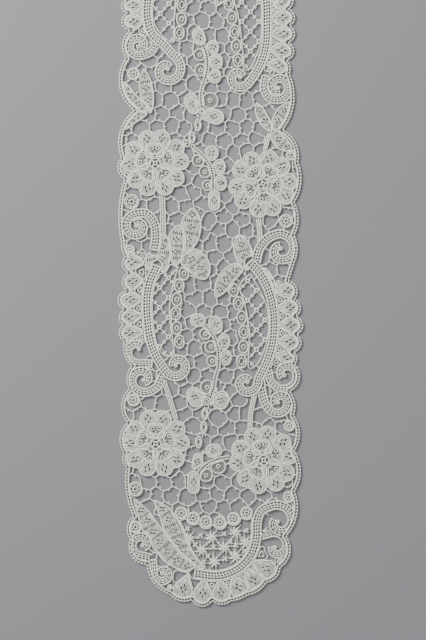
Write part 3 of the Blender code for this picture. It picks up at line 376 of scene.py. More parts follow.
def addLine(name, points, girth, height, closed=False, kind="lines"):
    line = np.asarray(points, dtype=float)
    if len(line) > 1:
        girths = np.full(len(line), girth) if np.isscalar(girth) else np.asarray(girth)
        getattr(work(name), kind).append((line, girths, height, closed))


def addRing(name, x, s, radius, girth, height=cordHeight, count=12):
    addLine(name, circle(x, s, radius, count), girth, height, closed=True)


def runsOf(line, clear):  # the stretches of three points or more that are clear
    runs, run = [], []
    for point, free in list(zip(line, clear)) + [(None, False)]:
        if free:
            run.append(point)
        elif run:
            runs.append(np.array(run))
            run = []
    return [r for r in runs if len(r) > 2]


def freeRuns(points, before, patch, limit=0.15):  # the stretches that no earlier piece covers
    line = np.asarray(points, dtype=float)
    return runsOf(line, (patch.read(before, line[:, :2]) > limit) & (whole.read(outside, line[:, :2]) < -0.1))


def addRuns(name, points, before, patch, girth, height=cordHeight, limit=0.15):
    for run in freeRuns(points, before, patch, limit):
        addLine(name, run, girth, height)


def sidesOf(line):  # a step to the left at each of a line's points
    ways = np.gradient(line, axis=0)
    ways /= np.linalg.norm(ways, axis=1)[:, None]
    return np.column_stack([-ways[:, 1], ways[:, 0]])


def addPlate(name, region, patch, grain, holes, rise):
    field = region + threads["plateInset"]
    if holes:
        field = np.maximum(field, -painted(holes, patch))
    loops = [simpler(loop, threads["flatness"]) for loop in contours(field, patch)
             if abs(areaOf(loop)) > threads["leastHole"]]
    loops = [loop for loop in loops if len(loop) > 2]
    if not any(areaOf(loop) > threads["leastArea"] for loop in loops):
        return
    points, sides = [], []
    for loop in loops:
        first = len(points)
        points += [tuple(p) for p in loop]
        sides += [(first + k, first + (k + 1) % len(loop)) for k in range(len(loop))]
    every, (room, shiftedRoom) = threads["innerEvery"], threads["innerRoom"]
    rows, columns = np.nonzero(field[::every, ::every] < -room)
    for row, column in zip(rows * every, columns * every):
        if row // every % 2 and column + every // 2 < patch.x.shape[1]:
            column += every // 2
        if field[row, column] < -shiftedRoom:
            points.append((patch.x[0, column], patch.s[row, 0]))
    verts, _, faces, *_ = delaunay_2d_cdt([Vector(p) for p in points], sides, [], 0, 1e-4, True)
    flat = np.array([(v.x, v.y) for v in verts])
    faces = np.array([f for f in faces if len(f) == 3])
    kept = faces[patch.read(field, flat[faces].mean(axis=1)) < 0]
    used, kept = np.unique(kept, return_inverse=True)
    flat = flat[used]
    depth = np.clip(-patch.read(region, flat) / threads["domeReach"], 0, 1)
    top = threads["plateThick"] + rise * np.sin(depth * math.pi / 2)
    way = wayAt(grain)
    weave = np.column_stack([flat[:, 0] * u + flat[:, 1] * v for u, v in (way, leftOf(way))])
    work(name).plates.append((flat, top, kept.reshape(-1, 3), weave))


def addNet(name, region, patch, grain):
    rows, columns = np.nonzero(region < -threads["fine"])
    if not len(rows):
        return
    spots = np.column_stack([patch.x[0, columns], patch.s[rows, 0]])
    low, high = spots.min(axis=0), spots.max(axis=0)
    reach = np.linalg.norm(high - low) / 2 + 1
    pitch = threads["netPitch"]
    at = np.arange(-reach, reach, threads["netStep"])[:, None]
    for angle in (grain + 45.0, grain + 135.0):
        way = wayAt(angle)
        for k in range(-math.ceil(reach / pitch), math.ceil(reach / pitch) + 1):
            line = (low + high) / 2 + leftOf(way) * k * pitch + way * at
            within = patch.read(region, line) < -threads["netInset"]
            changes = np.flatnonzero(np.diff(np.concatenate([[0], within.astype(int), [0]])))
            for start, end in zip(changes[::2], changes[1::2]):
                if end - start > 3:
                    addLine(name, line[[start, end - 1]], threads["net"], netHeight, kind="nets")


def addCords(name, region, patch, girth):
    for loop in contours(region, patch, -girth):
        if abs(areaOf(loop)) > threads["leastArea"] / 2 and len(loop) > threads["leastLoop"]:
            addLine(name, evenly(loop, threads["step"], True), girth, cordHeight, closed=True)


def addArea(name, region):
    work(name).area += float((region < 0).sum()) * strip["gridStep"] ** 2


def take(name, own, patch):  # the region, less what earlier pieces and the braid have taken
    here = patch.inside(whole)
    before = taken[here].copy()
    region = np.maximum(np.maximum(own, -before), outside[here])
    taken[here] = np.minimum(taken[here], own)
    addArea(name, region)
    return region, before


def claim(name, strokes):
    patch = patchRound(strokes)
    return *take(name, painted(strokes, patch), patch), patch


def addStreak(name, ends, holes):  # a thread of the cloth that lies proud of it, broken where the slits are
    line = evenly(ends, threads["streakStep"], False)
    share, room = threads["slitRoom"]
    clear = np.ones(len(line), dtype=bool)
    for hole in holes:
        spot = hole[:, :2].mean(axis=0)
        reach = 0.5 * np.linalg.norm(hole[-1, :2] - hole[0, :2]) + room
        clear &= np.hypot(line[:, 0] - spot[0], line[:, 1] - spot[1]) > share * reach
    for run in runsOf(line, clear):
        girths = np.interp(np.linspace(0, 1, len(run)), (0, 0.5, 1), threads["streak"])
        addLine(name, run, girths, streakHeight)


def addCloth(name, strokes, grain, holes, rise=threads["domeRise"]):
    region, _, patch = claim(name, strokes)
    addPlate(name, region, patch, grain, holes, rise)
    addCords(name, region, patch, threads["cordonnet"])


def addSheer(name, strokes, grain, cord, rings, ringRadius=1.0):
    region, _, patch = claim(name, strokes)
    net = region
    for x, s in rings:
        net = np.maximum(net, ringRadius - np.hypot(patch.x - x, patch.s - s))
        addRing(name, x, s, ringRadius, threads["ring"], cordHeight, 10)
    addNet(name, net, patch, grain)
    addCords(name, region, patch, cord)


def addOpen(name, strokes):
    region, _, patch = claim(name, strokes)
    addCords(name, region, patch, threads["cordonnet"])


def addSpokes(name, x, s, inner, outer, count, girth, turn=0.0):
    for k in range(count):
        dx, ds = wayAt(turn + 360.0 / count * k)
        addLine(name, [(x + inner * dx, s + inner * ds), (x + outer * dx, s + outer * ds)], girth, fineHeight)


def diamond(x, s, way, reach=(1.95, 1.4), slit=(1.9, 0.85), slant=24.0):  # four slits set in a diamond
    along = wayAt(way)
    across = leftOf(along)
    half = wayAt(way + slant) * (slit[0] - slit[1]) / 2
    holes = []
    for u, v in ((1, 0), (-1, 0), (0, 1), (0, -1)):
        centre = np.array([x, s]) + along * u * reach[0] + across * v * reach[1]
        holes.append(brush([centre - half, centre + half], slit[1]))
    return holes


flowers = {
    "places": [
        ("flower_left_1", -31.6, 97.5, 20.6, 90.0),
        ("flower_right_1", 33.1, 87.6, 20.8, 98.0),
        ("flower_left_2", -31.9, 265.6, 20.6, 92.0),
        ("flower_right_2", 32.7, 253.3, 20.8, 60.0),
        ("flower_left_3", -31.9, 265.6 + repeat, 20.6, 92.0),
        ("flower_right_3", 32.7, 253.3 + repeat, 20.8, 60.0),
    ],
    "petals": 5,
    "lobeSpread": 16.0,  # degrees from a petal's middle to its lobes
    "lobeReach": 0.73,  # shares of the flower's radius
    "lobeRadius": 0.27,
    "neck": [(15.0, 0.62, 0.24), (12.0, 0.27, 0.19)],  # spread, reach and half width of a lobe's neck
    "slits": {"spread": 17.0, "further": 0.03, "turn": 12.0, "slant": 20.0},  # further out than the lobes
    "centre": 0.185,
    "centreFill": 0.9,
    "corner": (2.0, 1.0),  # widths of the centre's points between the petals
    "heartReach": 0.43,
    "heartFoot": (0.235, 0.02),  # reach and side
    "heartSide": 0.095,
    "heartRadius": 0.128,
    "heartPoint": 0.05,
    "heartRing": (0.01, 0.95),  # further out than the heart's middle, and the share of its side
    "heartCord": 0.36,
    "eye": (1.05, 1.2, 0.42),  # the ring's radius, and where the spokes start and their girth
    "eyeLift": 0.15,
    "streaks": (-0.19, -0.13, -0.07, 0.0, 0.07, 0.13, 0.19),  # to the side of each lobe's middle
    "streakFoot": (0.62, 0.5, 0.7),  # reach, its change with the streak's side, and the share of that side
    "streakTip": (1.0, -0.5, 0.8),
    "crease": (0.585, 0.75, 0.9),  # between a petal's two lobes
    "creaseLift": 0.25,
}


def makeFlower(name, x, s, radius, turn):
    def at(angle, reach, side=0.0):
        a = math.radians(angle)
        return (x + radius * (reach * math.cos(a) - side * math.sin(a)),
                s + radius * (reach * math.sin(a) + side * math.cos(a)))

    turns = [turn + 360.0 / flowers["petals"] * k for k in range(flowers["petals"])]
    ring, spokeStart, spoke = flowers["eye"]
    between = 180.0 / flowers["petals"]
    corners = [disc(x, s, flowers["centre"] * radius * flowers["centreFill"])]
    corners += [brush([(x, s), at(a + between, flowers["centre"])], *flowers["corner"]) for a in turns]
    addOpen(name, corners)
    addRing(name, x, s, ring, threads["ring"], cordHeight + flowers["eyeLift"])
    spokeEnd = flowers["centreFill"] * flowers["centre"] * radius
    addSpokes(name, x, s, spokeStart, spokeEnd, 4, spoke, turn + 45.0)
    footReach, footSide = flowers["heartFoot"]
    further, share = flowers["heartRing"]
    for a in turns:
        strokes, rings = [], []
        for side in (-1, 1):
            lobe = at(a, flowers["heartReach"], side * flowers["heartSide"])
            foot = at(a, footReach, side * footSide)
            strokes.append(brush([lobe, foot], 2 * flowers["heartRadius"] * radius,
                                 flowers["heartPoint"] * radius))
            rings.append(at(a, flowers["heartReach"] + further, side * flowers["heartSide"] * share))
        addSheer(name, strokes, a, flowers["heartCord"], rings)
    slits, ends = flowers["slits"], (flowers["streakFoot"], flowers["streakTip"])
    for a in turns:
        strokes, holes, streaks = [], [], []
        for side in (-1, 1):
            middle = a + side * flowers["lobeSpread"]
            strokes.append(disc(*at(middle, flowers["lobeReach"]), flowers["lobeRadius"] * radius))
            strokes.append(brush([at(a + side * spread, reach) for spread, reach, _ in flowers["neck"]],
                                 *(2 * half * radius for _, _, half in flowers["neck"])))
            spot = at(a + side * slits["spread"], flowers["lobeReach"] + slits["further"])
            holes += diamond(*spot, a + side * slits["turn"], slant=side * slits["slant"])
            for offset in flowers["streaks"]:
                streaks.append([at(middle, reach + change * abs(offset), offset * share)
                                for reach, change, share in ends])
        addCloth(name, strokes, a, holes)
        for streak in streaks:
            addStreak(name, streak, holes)
        crease = [at(a, reach) for reach in flowers["crease"]]
        addLine(name, evenly(crease, threads["step"], False), threads["fine"],
                cordHeight + flowers["creaseLift"])


for row in flowers["places"]:
    makeFlower(*row)
print("flowers drawn")

# ladder bands and curls: name, lead, the curl's centre, sweep, width at start and end, last radius
bands = {
    "rows": [
        ("medallion_left_1", [(-30.9, 204.0), (-35.1, 194.4), (-36.9, 183.6), (-36.6, 172.8), (-35.1, 160.8),
         (-31.5, 150.0), (-25.5, 140.4)], (-18.9, 144.3), 330.0, 5.0, 3.4, 2.2),
        ("medallion_right_1", [(24.9, 206.4), (32.1, 198.0), (36.9, 187.2), (39.0, 176.4), (39.3, 166.8),
         (38.1, 156.0), (34.5, 145.2), (29.7, 135.6)], (22.8, 133.8), -330.0, 5.0, 3.4, 2.2),
        ("medallion_left_2", [(-30.9, 378.6), (-35.1, 369.0), (-36.6, 358.8), (-36.3, 351.0), (-33.3, 342.6),
         (-26.7, 336.6), (-21.3, 330.6)], (-24.9, 321.6), -380.0, 5.0, 3.4, 1.9),
        ("medallion_right_2", [(24.9, 381.0), (32.1, 372.6), (34.8, 362.4), (35.1, 350.4), (34.8, 338.4),
         (32.7, 328.8), (28.5, 319.8), (23.7, 313.2)], (18.3, 316.8), -300.0, 5.0, 3.4, 2.2),
        ("shell_band", [(-8.1, 19.6), (3.9, 18.0), (12.9, 19.8), (20.7, 24.6), (26.1, 31.8), (28.8, 40.8),
         (29.1, 50.4), (31.5, 57.0), (35.7, 59.4)], (42.3, 50.4), -330.0, 5.0, 3.6, 2.4),
        ("medallion_left_1", [(-26.4, 140.4), (-30.3, 132.0), (-35.7, 128.4)], (-39.3, 136.2), -360.0,
         3.8, 3.0, 2.0),
        ("medallion_right_1", [(31.1, 138.6), (32.1, 128.4), (34.5, 120.6), (38.1, 116.4)], (42.3, 122.4),
         330.0, 3.8, 3.0, 2.2),
        ("curl_left_1", [(-33.3, 27.6), (-32.7, 20.4)], (-27.3, 19.2), 330.0, 3.6, 2.8, 1.8),
        ("curl_left_1", [(-32.3, 26.8), (-35.1, 28.8), (-39.9, 30.0)], (-39.9, 37.2), -330.0, 3.8, 3.0, 2.0),
        ("curl_left_2", [(-33.9, 145.2), (-38.7, 145.8)], (-42.3, 153.3), -240.0, 3.6, 2.8, 3.0),
        ("curl_left_3", [(-32.6, 213.6), (-31.4, 221.0), (-32.4, 229.5), (-37.0, 235.2), (-41.5, 235.6)],
         (-42.8, 227.6), 400.0, 4.2, 3.0, 1.8),
        ("curl_left_4", [(-30.9, 339.6), (-33.9, 333.0), (-39.3, 330.3)], (-42.0, 336.3), -400.0,
         3.8, 3.0, 2.0),
        ("curl_left_5",
         lifted([(-32.6, 213.6), (-31.4, 221.0), (-32.4, 229.5), (-37.0, 235.2), (-41.5, 235.6)]),
         (-42.8, 227.6 + repeat), 400.0, 4.2, 3.0, 1.8),
        ("curl_right_1", [(30.9, 42.0), (35.7, 43.2)], (40.5, 35.4), -300.0, 3.6, 2.8, 2.2),
        ("curl_right_2", [(35.7, 141.6), (37.5, 135.0), (41.7, 130.8)], (46.2, 138.9), 330.0, 3.6, 2.8, 2.4),
        ("curl_right_3", [(28.5, 206.4), (30.3, 213.6), (35.1, 220.2), (41.1, 223.2)], (43.5, 213.6), -360.0,
         4.2, 3.0, 2.4),
        ("curl_right_4", [(34.5, 318.0), (33.3, 310.8), (35.7, 305.4)], (41.7, 311.4), 420.0, 3.8, 3.0, 2.0),
        ("curl_right_5", lifted([(28.5, 206.4), (30.3, 213.6), (35.1, 220.2), (41.1, 223.2)]),
         (43.5, 213.6 + repeat), -360.0, 4.2, 3.0, 2.4),
    ],
    "curlStep": 1.0,
    "wider": (1.2, 1.55),  # than the rows say, at the start and at the end
    "slim": 4.5,
    "slimWider": (1.4, 1.8),  # the same for the curls that start slimmer than that
    "border": 0.46,
    "spine": 0.24,
    "spineSide": 0.24,  # of half the width
    "rung": 0.3,
    "rungPitch": 1.9,
    "rungSlant": 9.0,  # degrees
    "eye": 0.8,  # left free round a curl's centre
    "fill": 0.72,  # of the curl's first radius
    "capSpots": 5,
    "eyeRing": (0.85, 0.42),
    "eyePlace": (0.35, 0.65),  # shares of the band's end and of the curl's centre
}


def bandLine(lead, centre, sweep, start, end, lastRadius):
    line = smooth(lead, bands["curlStep"])
    dx, ds = line[-1][0] - centre[0], line[-1][1] - centre[1]
    firstRadius, firstAngle = math.hypot(dx, ds), math.atan2(ds, dx)
    steps = math.ceil(abs(math.radians(sweep)) * firstRadius / (1.6 * bands["curlStep"]))
    for k in range(1, steps + 1):
        radius = firstRadius + (lastRadius - firstRadius) * k / steps
        angle = firstAngle + math.radians(sweep) * k / steps
        line.append(np.array([centre[0] + radius * math.cos(angle), centre[1] + radius * math.sin(angle)]))
    wider = bands["slimWider"] if start < bands["slim"] else bands["wider"]
    return brush(line, start * wider[0], end * wider[1])


def makeBand(name, lead, centre, sweep, start, end, lastRadius):
    line = bandLine(lead, centre, sweep, start, end, lastRadius)
    _, before, patch = claim(name, [line])
    even = evenly(line, threads["step"], False)
    spots, halves = even[:, :2], even[:, 2:]
    sides = sidesOf(spots)
    for side in (-1, 1):
        border = spots + sides * side * (halves - bands["border"])
        border = border[np.hypot(*(border - centre).T) > bands["eye"]]
        addRuns(name, border, before, patch, bands["border"])
        spine = spots + sides * side * halves * bands["spineSide"]
        addRuns(name, spine, before, patch, bands["spine"], fineHeight)
    for run in freeRuns(even, before, patch):
        addLine(name, run[:, :2], run[:, 2] - bands["border"], fineHeight, kind="rungs")
    fill = disc(*centre, bands["fill"] * math.dist(lead[-1], centre))
    here = patch.inside(whole)
    taken[here] = np.minimum(taken[here], painted([fill], patch))
    cap = spots[0] + sides[0] * np.linspace(-1, 1, bands["capSpots"])[:, None] * (halves[0] - bands["border"])
    addRuns(name, cap, before, patch, bands["border"])
    ofEnd, ofCentre = bands["eyePlace"]
    addRing(name, *(spots[-1] * ofEnd + np.array(centre) * ofCentre), *bands["eyeRing"], cordHeight + 0.1, 8)


for row in bands["rows"]:
    makeBand(*row)
print("bands drawn")

shellRings = {
    "places": [(-16.3, 55.8), (-9.0, 52.8), (-1.5, 50.6), (6.9, 50.2), (15.1, 52.6), (22.9, 56.0)],
    "radius": 3.9,
    "hub": (0.3, 0.36),  # share of a ring bead's radius, and the thread's own
    "inner": (0.68, 0.26),
    "spoke": (0.9, 0.22),
    "spokes": 7,
    "plainUnder": 3.0,  # a bead this small has its hub alone
}


def makeBead(name, x, s, radius):
    addOpen(name, [disc(x, s, radius)])
    hub, hubThread = shellRings["hub"]
    if radius > shellRings["plainUnder"]:
        inner, thread = shellRings["inner"]
        end, spoke = shellRings["spoke"]
        addRing(name, x, s, inner * radius, thread, fineHeight, 14)
        addSpokes(name, x, s, hub * radius, end * radius, shellRings["spokes"], spoke)
    addRing(name, x, s, hub * radius, hubThread, cordHeight, 10)


for x, s in shellRings["places"]:
    makeBead("shell_rings", x, s, shellRings["radius"])

# name, then each leaf's points from foot to tip and its width
leaves = {
    "rows": [
        ("leaf_spray_left_1", [
            ([(-31.5, 197.5), (-33.6, 205.0), (-34.6, 213.0)], 6.4),
            ([(-27.3, 201.4), (-27.8, 213.6), (-27.3, 224.0)], 8.0),
            ([(-19.6, 205.6), (-19.6, 217.2), (-17.6, 228.4)], 8.4),
            ([(-13.6, 213.4), (-10.6, 226.8), (-9.3, 238.4)], 10.0),
            ([(-16.5, 210.2), (-7.5, 206.4), (-1.9, 196.8)], 11.0),
        ]),
        ("leaf_spray_right_1", [
            ([(23.6, 203.0), (21.0, 212.0), (18.3, 221.6)], 9.0),
            ([(21.5, 205.0), (12.0, 198.0), (4.4, 185.2)], 7.6),
            ([(26.0, 203.0), (33.5, 199.0), (41.1, 186.0)], 5.6),
        ]),
        ("shell_leaf_outer", [
            ([(-6.8, 20.6), (-20.1, 28.3), (-27.1, 36.2), (-33.4, 44.9), (-38.0, 53.6), (-44.5, 64.2)], 9.0),
        ]),
        ("shell_leaf_inner", [
            ([(-4.1, 22.8), (-10.1, 26.3), (-16.4, 33.6), (-20.8, 44.9), (-25.4, 55.0), (-32.4, 63.2)], 9.2),
        ]),
        ("side_leaves_left", [
            ([(-36.5, 297.4), (-46.0, 304.0), (-51.0, 314.4)], 6.0),
            ([(-35.1, 296.6), (-37.2, 309.0), (-38.7, 322.0)], 6.6),
            ([(-36.5, 297.0), (-46.0, 292.6), (-52.5, 285.0)], 6.0),
        ]),
        ("side_leaves_right", [
            ([(37.5, 285.0), (32.6, 293.0), (28.8, 301.8)], 5.4),
            ([(38.2, 285.0), (43.0, 293.6), (48.9, 302.6)], 6.0),
            ([(38.1, 285.6), (43.6, 278.0), (50.0, 273.6)], 6.6),
        ]),
    ],
    "repeated": {"leaf_spray_left_1": "leaf_spray_left_2", "leaf_spray_right_1": "leaf_spray_right_2"},
    "profile": [(0.0, 0.34), (0.16, 0.76), (0.32, 1.0), (0.5, 1.04), (0.66, 0.98), (0.8, 0.74),
                (0.92, 0.4), (1.0, 0.12)],
    "step": 1.2,
    "wider": 1.24,  # than the rows say
    "rise": 0.45,
    "holeEnds": (3.2, 2.5),  # from foot and tip
    "holeSpacing": 3.7,  # between a row of slots and the diamond beyond it
    "holeRim": 1.1,
    "leastRoom": (0.6, 1.2),  # for a row of slots and for a diamond
    "slot": (1.8, 0.62),
    "slotPitch": 1.25,
    "diamond": {"reach": (1.5, 1.2), "slit": (1.7, 0.8), "slant": -20.0},
}


def leafStroke(points, width):
    line = np.array(smooth(points, leaves["step"]))
    run = np.concatenate([[0], np.cumsum(np.linalg.norm(np.diff(line, axis=0), axis=1))])
    shares, widths = zip(*leaves["profile"])
    radii = np.interp(run / run[-1], shares, widths) * leaves["wider"] * width / 2
    return np.column_stack([line, radii]), run


def leafHoles(stroke, run):  # rows of slots across the leaf, with diamonds between them
    holes = []
    (at, last), odd = leaves["holeEnds"], True
    while at < run[-1] - last:
        x, s, radius = (float(np.interp(at, run, stroke[:, k])) for k in range(3))
        ahead = [float(np.interp(at + 0.5, run, stroke[:, k])) for k in range(2)]
        way = math.atan2(ahead[1] - s, ahead[0] - x)
        along = np.array([math.cos(way), math.sin(way)])
        room = radius - leaves["holeRim"]
        if odd and room > leaves["leastRoom"][0]:
            half = along * (leaves["slot"][0] - leaves["slot"][1]) / 2
            count = int(room / leaves["slotPitch"])
            for k in range(-count, count + 1):
                centre = np.array([x, s]) + leftOf(along) * k * leaves["slotPitch"]
                holes.append(brush([centre - half, centre + half], leaves["slot"][1]))
        elif room > leaves["leastRoom"][1]:
            holes += diamond(x, s, math.degrees(way) + 90.0, **leaves["diamond"])
        at += leaves["holeSpacing"]
        odd = not odd
    return holes


def makeLeaves(name, rows, lift=0.0):
    for points, width in rows:
        stroke, run = leafStroke([(x, s + lift) for x, s in points], width)
        way = math.degrees(math.atan2(points[-1][1] - points[0][1], points[-1][0] - points[0][0]))
        addCloth(name, [stroke], way, leafHoles(stroke, run), leaves["rise"])


for name, rows in leaves["rows"]:
    makeLeaves(name, rows)
    if name in leaves["repeated"]:
        makeLeaves(leaves["repeated"][name], rows, repeat)
print("leaves drawn")

# stem: its points; sheer: x, s, radius; solid: x, s, half width, half height, turn; chain: its drops
sprigs = {
    "rows": [
        ("sprig_1", {
            "stem": [(-8.8, 73.4), (-6.8, 78.0), (-3.8, 82.4), (0.6, 86.0), (5.2, 88.0), (12.2, 89.4)],
            "sheer": [(5.9, 83.9, 4.6), (-1.5, 78.6, 4.2)],
            "solid": [(-6.6, 86.4, 3.1, 5.4, -10.0), (3.2, 93.0, 5.0, 4.3, 0.0), (-8.9, 74.2, 3.7, 6.9, 0.0)],
            "chain": [],
        }),
        ("sprig_2", {
            "stem": [(-4.5, 171.0), (-1.9, 168.6), (2.4, 163.2), (5.3, 157.0), (6.2, 150.2), (6.0, 144.0),
                (4.2, 137.2), (3.2, 131.0), (1.2, 125.4), (-1.8, 116.4), (-2.8, 107.4), (-5.9, 98.8)],
            "sheer": [(-1.9, 163.3, 3.6), (1.5, 155.6, 3.8), (2.2, 147.0, 3.5), (-0.6, 131.3, 4.4),
                (-1.0, 122.9, 2.6)],
            "solid": [(-6.3, 171.4, 4.7, 4.0, 0.0), (4.3, 168.6, 3.9, 5.5, 12.0),
                (9.2, 158.5, 3.5, 4.9, -5.0), (10.4, 149.0, 3.4, 4.7, -5.0), (-8.0, 125.3, 4.6, 6.1, 25.0),
                (7.5, 123.4, 4.6, 5.8, -25.0)],
            "chain": [(-2.1, 115.4), (-2.8, 107.4), (-5.9, 98.4)],
        }),
        ("sprig_3", {
            "stem": [(-13.5, 278.2), (-8.8, 275.0), (-6.0, 272.6), (-2.2, 268.9), (0.7, 265.0), (2.2, 261.0),
                (2.9, 256.0), (2.9, 250.0), (3.3, 242.0)],
            "sheer": [(-6.0, 267.3, 3.9), (-2.1, 260.4, 3.8), (-0.5, 252.4, 3.4)],
            "solid": [(1.8, 271.6, 4.2, 4.7, -20.0), (6.6, 263.3, 3.6, 4.7, -5.0),
                (7.3, 253.9, 3.5, 4.8, 5.0), (3.5, 243.4, 3.5, 6.3, 0.0), (-13.6, 277.4, 3.0, 2.4, 0.0)],
            "chain": [],
        }),
        ("sprig_4", {
            "stem": [(-5.0, 340.0), (-3.6, 337.0), (-1.3, 332.0), (-0.5, 326.5), (-0.8, 321.0), (-2.1, 316.0),
                (-3.9, 310.6), (-4.7, 305.0), (-4.2, 299.0), (-6.3, 288.6), (-9.9, 281.0)],
            "sheer": [(-5.2, 330.7, 3.8), (-4.6, 321.5, 3.9), (1.0, 303.2, 4.9), (-3.9, 296.8, 2.3)],
            "solid": [(-5.6, 341.4, 3.7, 5.3, 18.0), (2.7, 335.0, 3.5, 4.5, 0.0), (4.5, 326.5, 4.0, 4.9, 0.0),
                (3.7, 317.8, 3.8, 4.5, 0.0), (-9.4, 301.2, 4.3, 6.4, 25.0), (3.4, 293.7, 6.0, 4.6, -20.0)],
            "chain": [(-6.3, 288.4), (-9.9, 280.8)],
        }),
    ],
    "copied": ("sprig_5", "sprig_3", 4),  # with this many of its solid lobes
    "stemStep": 0.5,
    "stemWidth": 2.5,
    "drop": (2.3, 4.3),
    "wider": 1.03,
    "foot": 1.25,  # of a lobe's radius, across at the stem
    "slender": 1.5,  # longer lobes than this many radii keep their own turn
    "endReach": 2.0,
    "sheerCord": 0.4,
    "netTurn": 20.0,  # degrees
    "streaks": (-0.72, -0.45, -0.18, 0.18, 0.45, 0.72),  # of a lobe's radius, to the side of its middle
    "streakEnd": 0.6,
    "diamond": {"reach": (1.6, 1.15), "slit": (1.5, 0.75)},
}

stems = {
    "rows": [
        ("leaf_spray_left_1", [(-27.8, 247.0), (-27.3, 234.0), (-27.2, 219.0)], 3.4),
        ("leaf_spray_left_2", lifted([(-27.8, 247.0), (-27.3, 234.0), (-27.2, 219.0)]), 3.4),
        ("medallion_left_1", [(-28.4, 140.0), (-22.9, 123.6), (-19.5, 112.0)], 3.0),
        ("medallion_right_1", [(29.4, 134.0), (25.5, 116.4), (24.9, 104.0)], 3.0),
        ("curl_right_3", [(30.0, 212.0), (30.9, 222.0), (29.9, 234.0)], 3.0),
        ("curl_right_5", lifted([(30.0, 212.0), (30.9, 222.0), (29.9, 234.0)]), 3.0),
        ("side_leaves_right", [(38.0, 286.4), (34.5, 276.0), (33.6, 268.0)], 2.6),
        ("sprig_1", [(-6.3, 88.0), (-2.0, 93.0), (2.1, 93.0)], 1.9),
    ],
    "step": 1.0,
    "cord": 0.36,
    "rung": 0.2,
    "rungReach": 0.4,  # of the width
    "rungRoom": 0.3,
    "twoCords": 2.5,  # a wider stem has a cord down its middle too
}


def makeStem(name, points, width):
    line = brush(smooth(points, stems["step"]), width)
    _, before, patch = claim(name, [line])
    spots = evenly(line, threads["step"], False)[:, :2]
    sides = sidesOf(spots)
    girth = min(stems["cord"], width / 4)
    for side in (-1, 1):
        addRuns(name, spots + sides * side * (width / 2 - girth), before, patch, girth, limit=0.0)
    for spot, side in zip(spots[1::2], sides[1::2]):
        if patch.read(before, [spot])[0] > stems["rungRoom"]:
            half = side * stems["rungReach"] * width
            addLine(name, [spot - half, spot + half], stems["rung"], fineHeight)
    if width > stems["twoCords"]:
        addRuns(name, spots, before, patch, stems["cord"], limit=0.0)


openOval = {
    "inner": 0.42,  # shares of the oval's size
    "tieStart": (0.45, 0.5),
    "tieEnd": 0.85,
    "innerStep": 0.7,
    "thread": 0.3,
    "tie": 0.25,
}


def makeOpenOval(name, x, s, across, along):
    addOpen(name, [pointedOval(x, s, across, along)])
    inner = oval(x, s, openOval["inner"] * across, openOval["inner"] * along)
    patch = patchRound([inner])
    for loop in contours(painted([inner], patch), patch):
        addLine(name, evenly(loop, openOval["innerStep"], True), openOval["thread"], fineHeight, closed=True)
    sideways, endways = openOval["tieStart"]
    for side in (-1, 1):
        ends = [(x, s + side * share * along) for share in (endways, openOval["tieEnd"])]
        addLine(name, ends, openOval["tie"], fineHeight)
        ends = [(x + side * share * across, s) for share in (sideways, openOval["tieEnd"])]
        addLine(name, ends, openOval["tie"], fineHeight)


def makeSprig(name, sprig):
    stem = np.array(smooth(sprig["stem"], sprigs["stemStep"]))

    def lobe(x, s, radius):  # a lobe grows out of the nearest place on the stem
        nearest = nearestOn(stem, x, s)
        return nearest, brush([nearest, (x, s)], sprigs["foot"] * radius, 2 * radius)

    def makeSheer(x, s, radius):
        _, foot = lobe(x, s, radius)
        strokes = [disc(x, s, radius * sprigs["wider"]), foot]
        addSheer(name, strokes, sprigs["netTurn"], sprigs["sheerCord"], [(x, s)])

    def makeSolid(x, s, across, along, turn):
        across, along = across * sprigs["wider"], along * sprigs["wider"]
        radius, longer = min(across, along), max(across, along)
        nearest, foot = lobe(x, s, radius)
        way = math.degrees(math.atan2(s - nearest[1], x - nearest[0]))
        if longer > sprigs["slender"] * radius:
            way = turn + (90.0 if along > across else 0.0)
        holes = diamond(x, s, way, **sprigs["diamond"])
        addCloth(name, [oval(x, s, across, along, turn), foot], way, holes)
        out = wayAt(way)
        for offset in sprigs["streaks"]:
            middle = np.array([x, s]) + leftOf(out) * offset * radius
            half = out * (longer * math.sqrt(1 - offset ** 2) - sprigs["streakEnd"])
            addStreak(name, [middle - half, middle + half], holes)

    for x, s in sprig["chain"]:
        makeOpenOval(name, x, s, *sprigs["drop"])
    for atEnd in (True, False):  # the lobes at the stem's ends lie over it, and the others beside it
        for make, rows in ((makeSheer, sprig["sheer"]), (makeSolid, sprig["solid"])):
            for row in rows:
                if (np.hypot(stem[:, 0] - row[0], stem[:, 1] - row[1]).min() < sprigs["endReach"]) == atEnd:
                    make(*row)
        if atEnd:
            makeStem(name, sprig["stem"], sprigs["stemWidth"])


for name, sprig in sprigs["rows"]:
    makeSprig(name, sprig)
name, source, lobes = sprigs["copied"]
copied = {part: lifted(rows) for part, rows in dict(sprigs["rows"])[source].items()}
makeSprig(name, {**copied, "solid": copied["solid"][:lobes]})
for row in stems["rows"]:
    makeStem(*row)
print("sprigs and stems drawn")

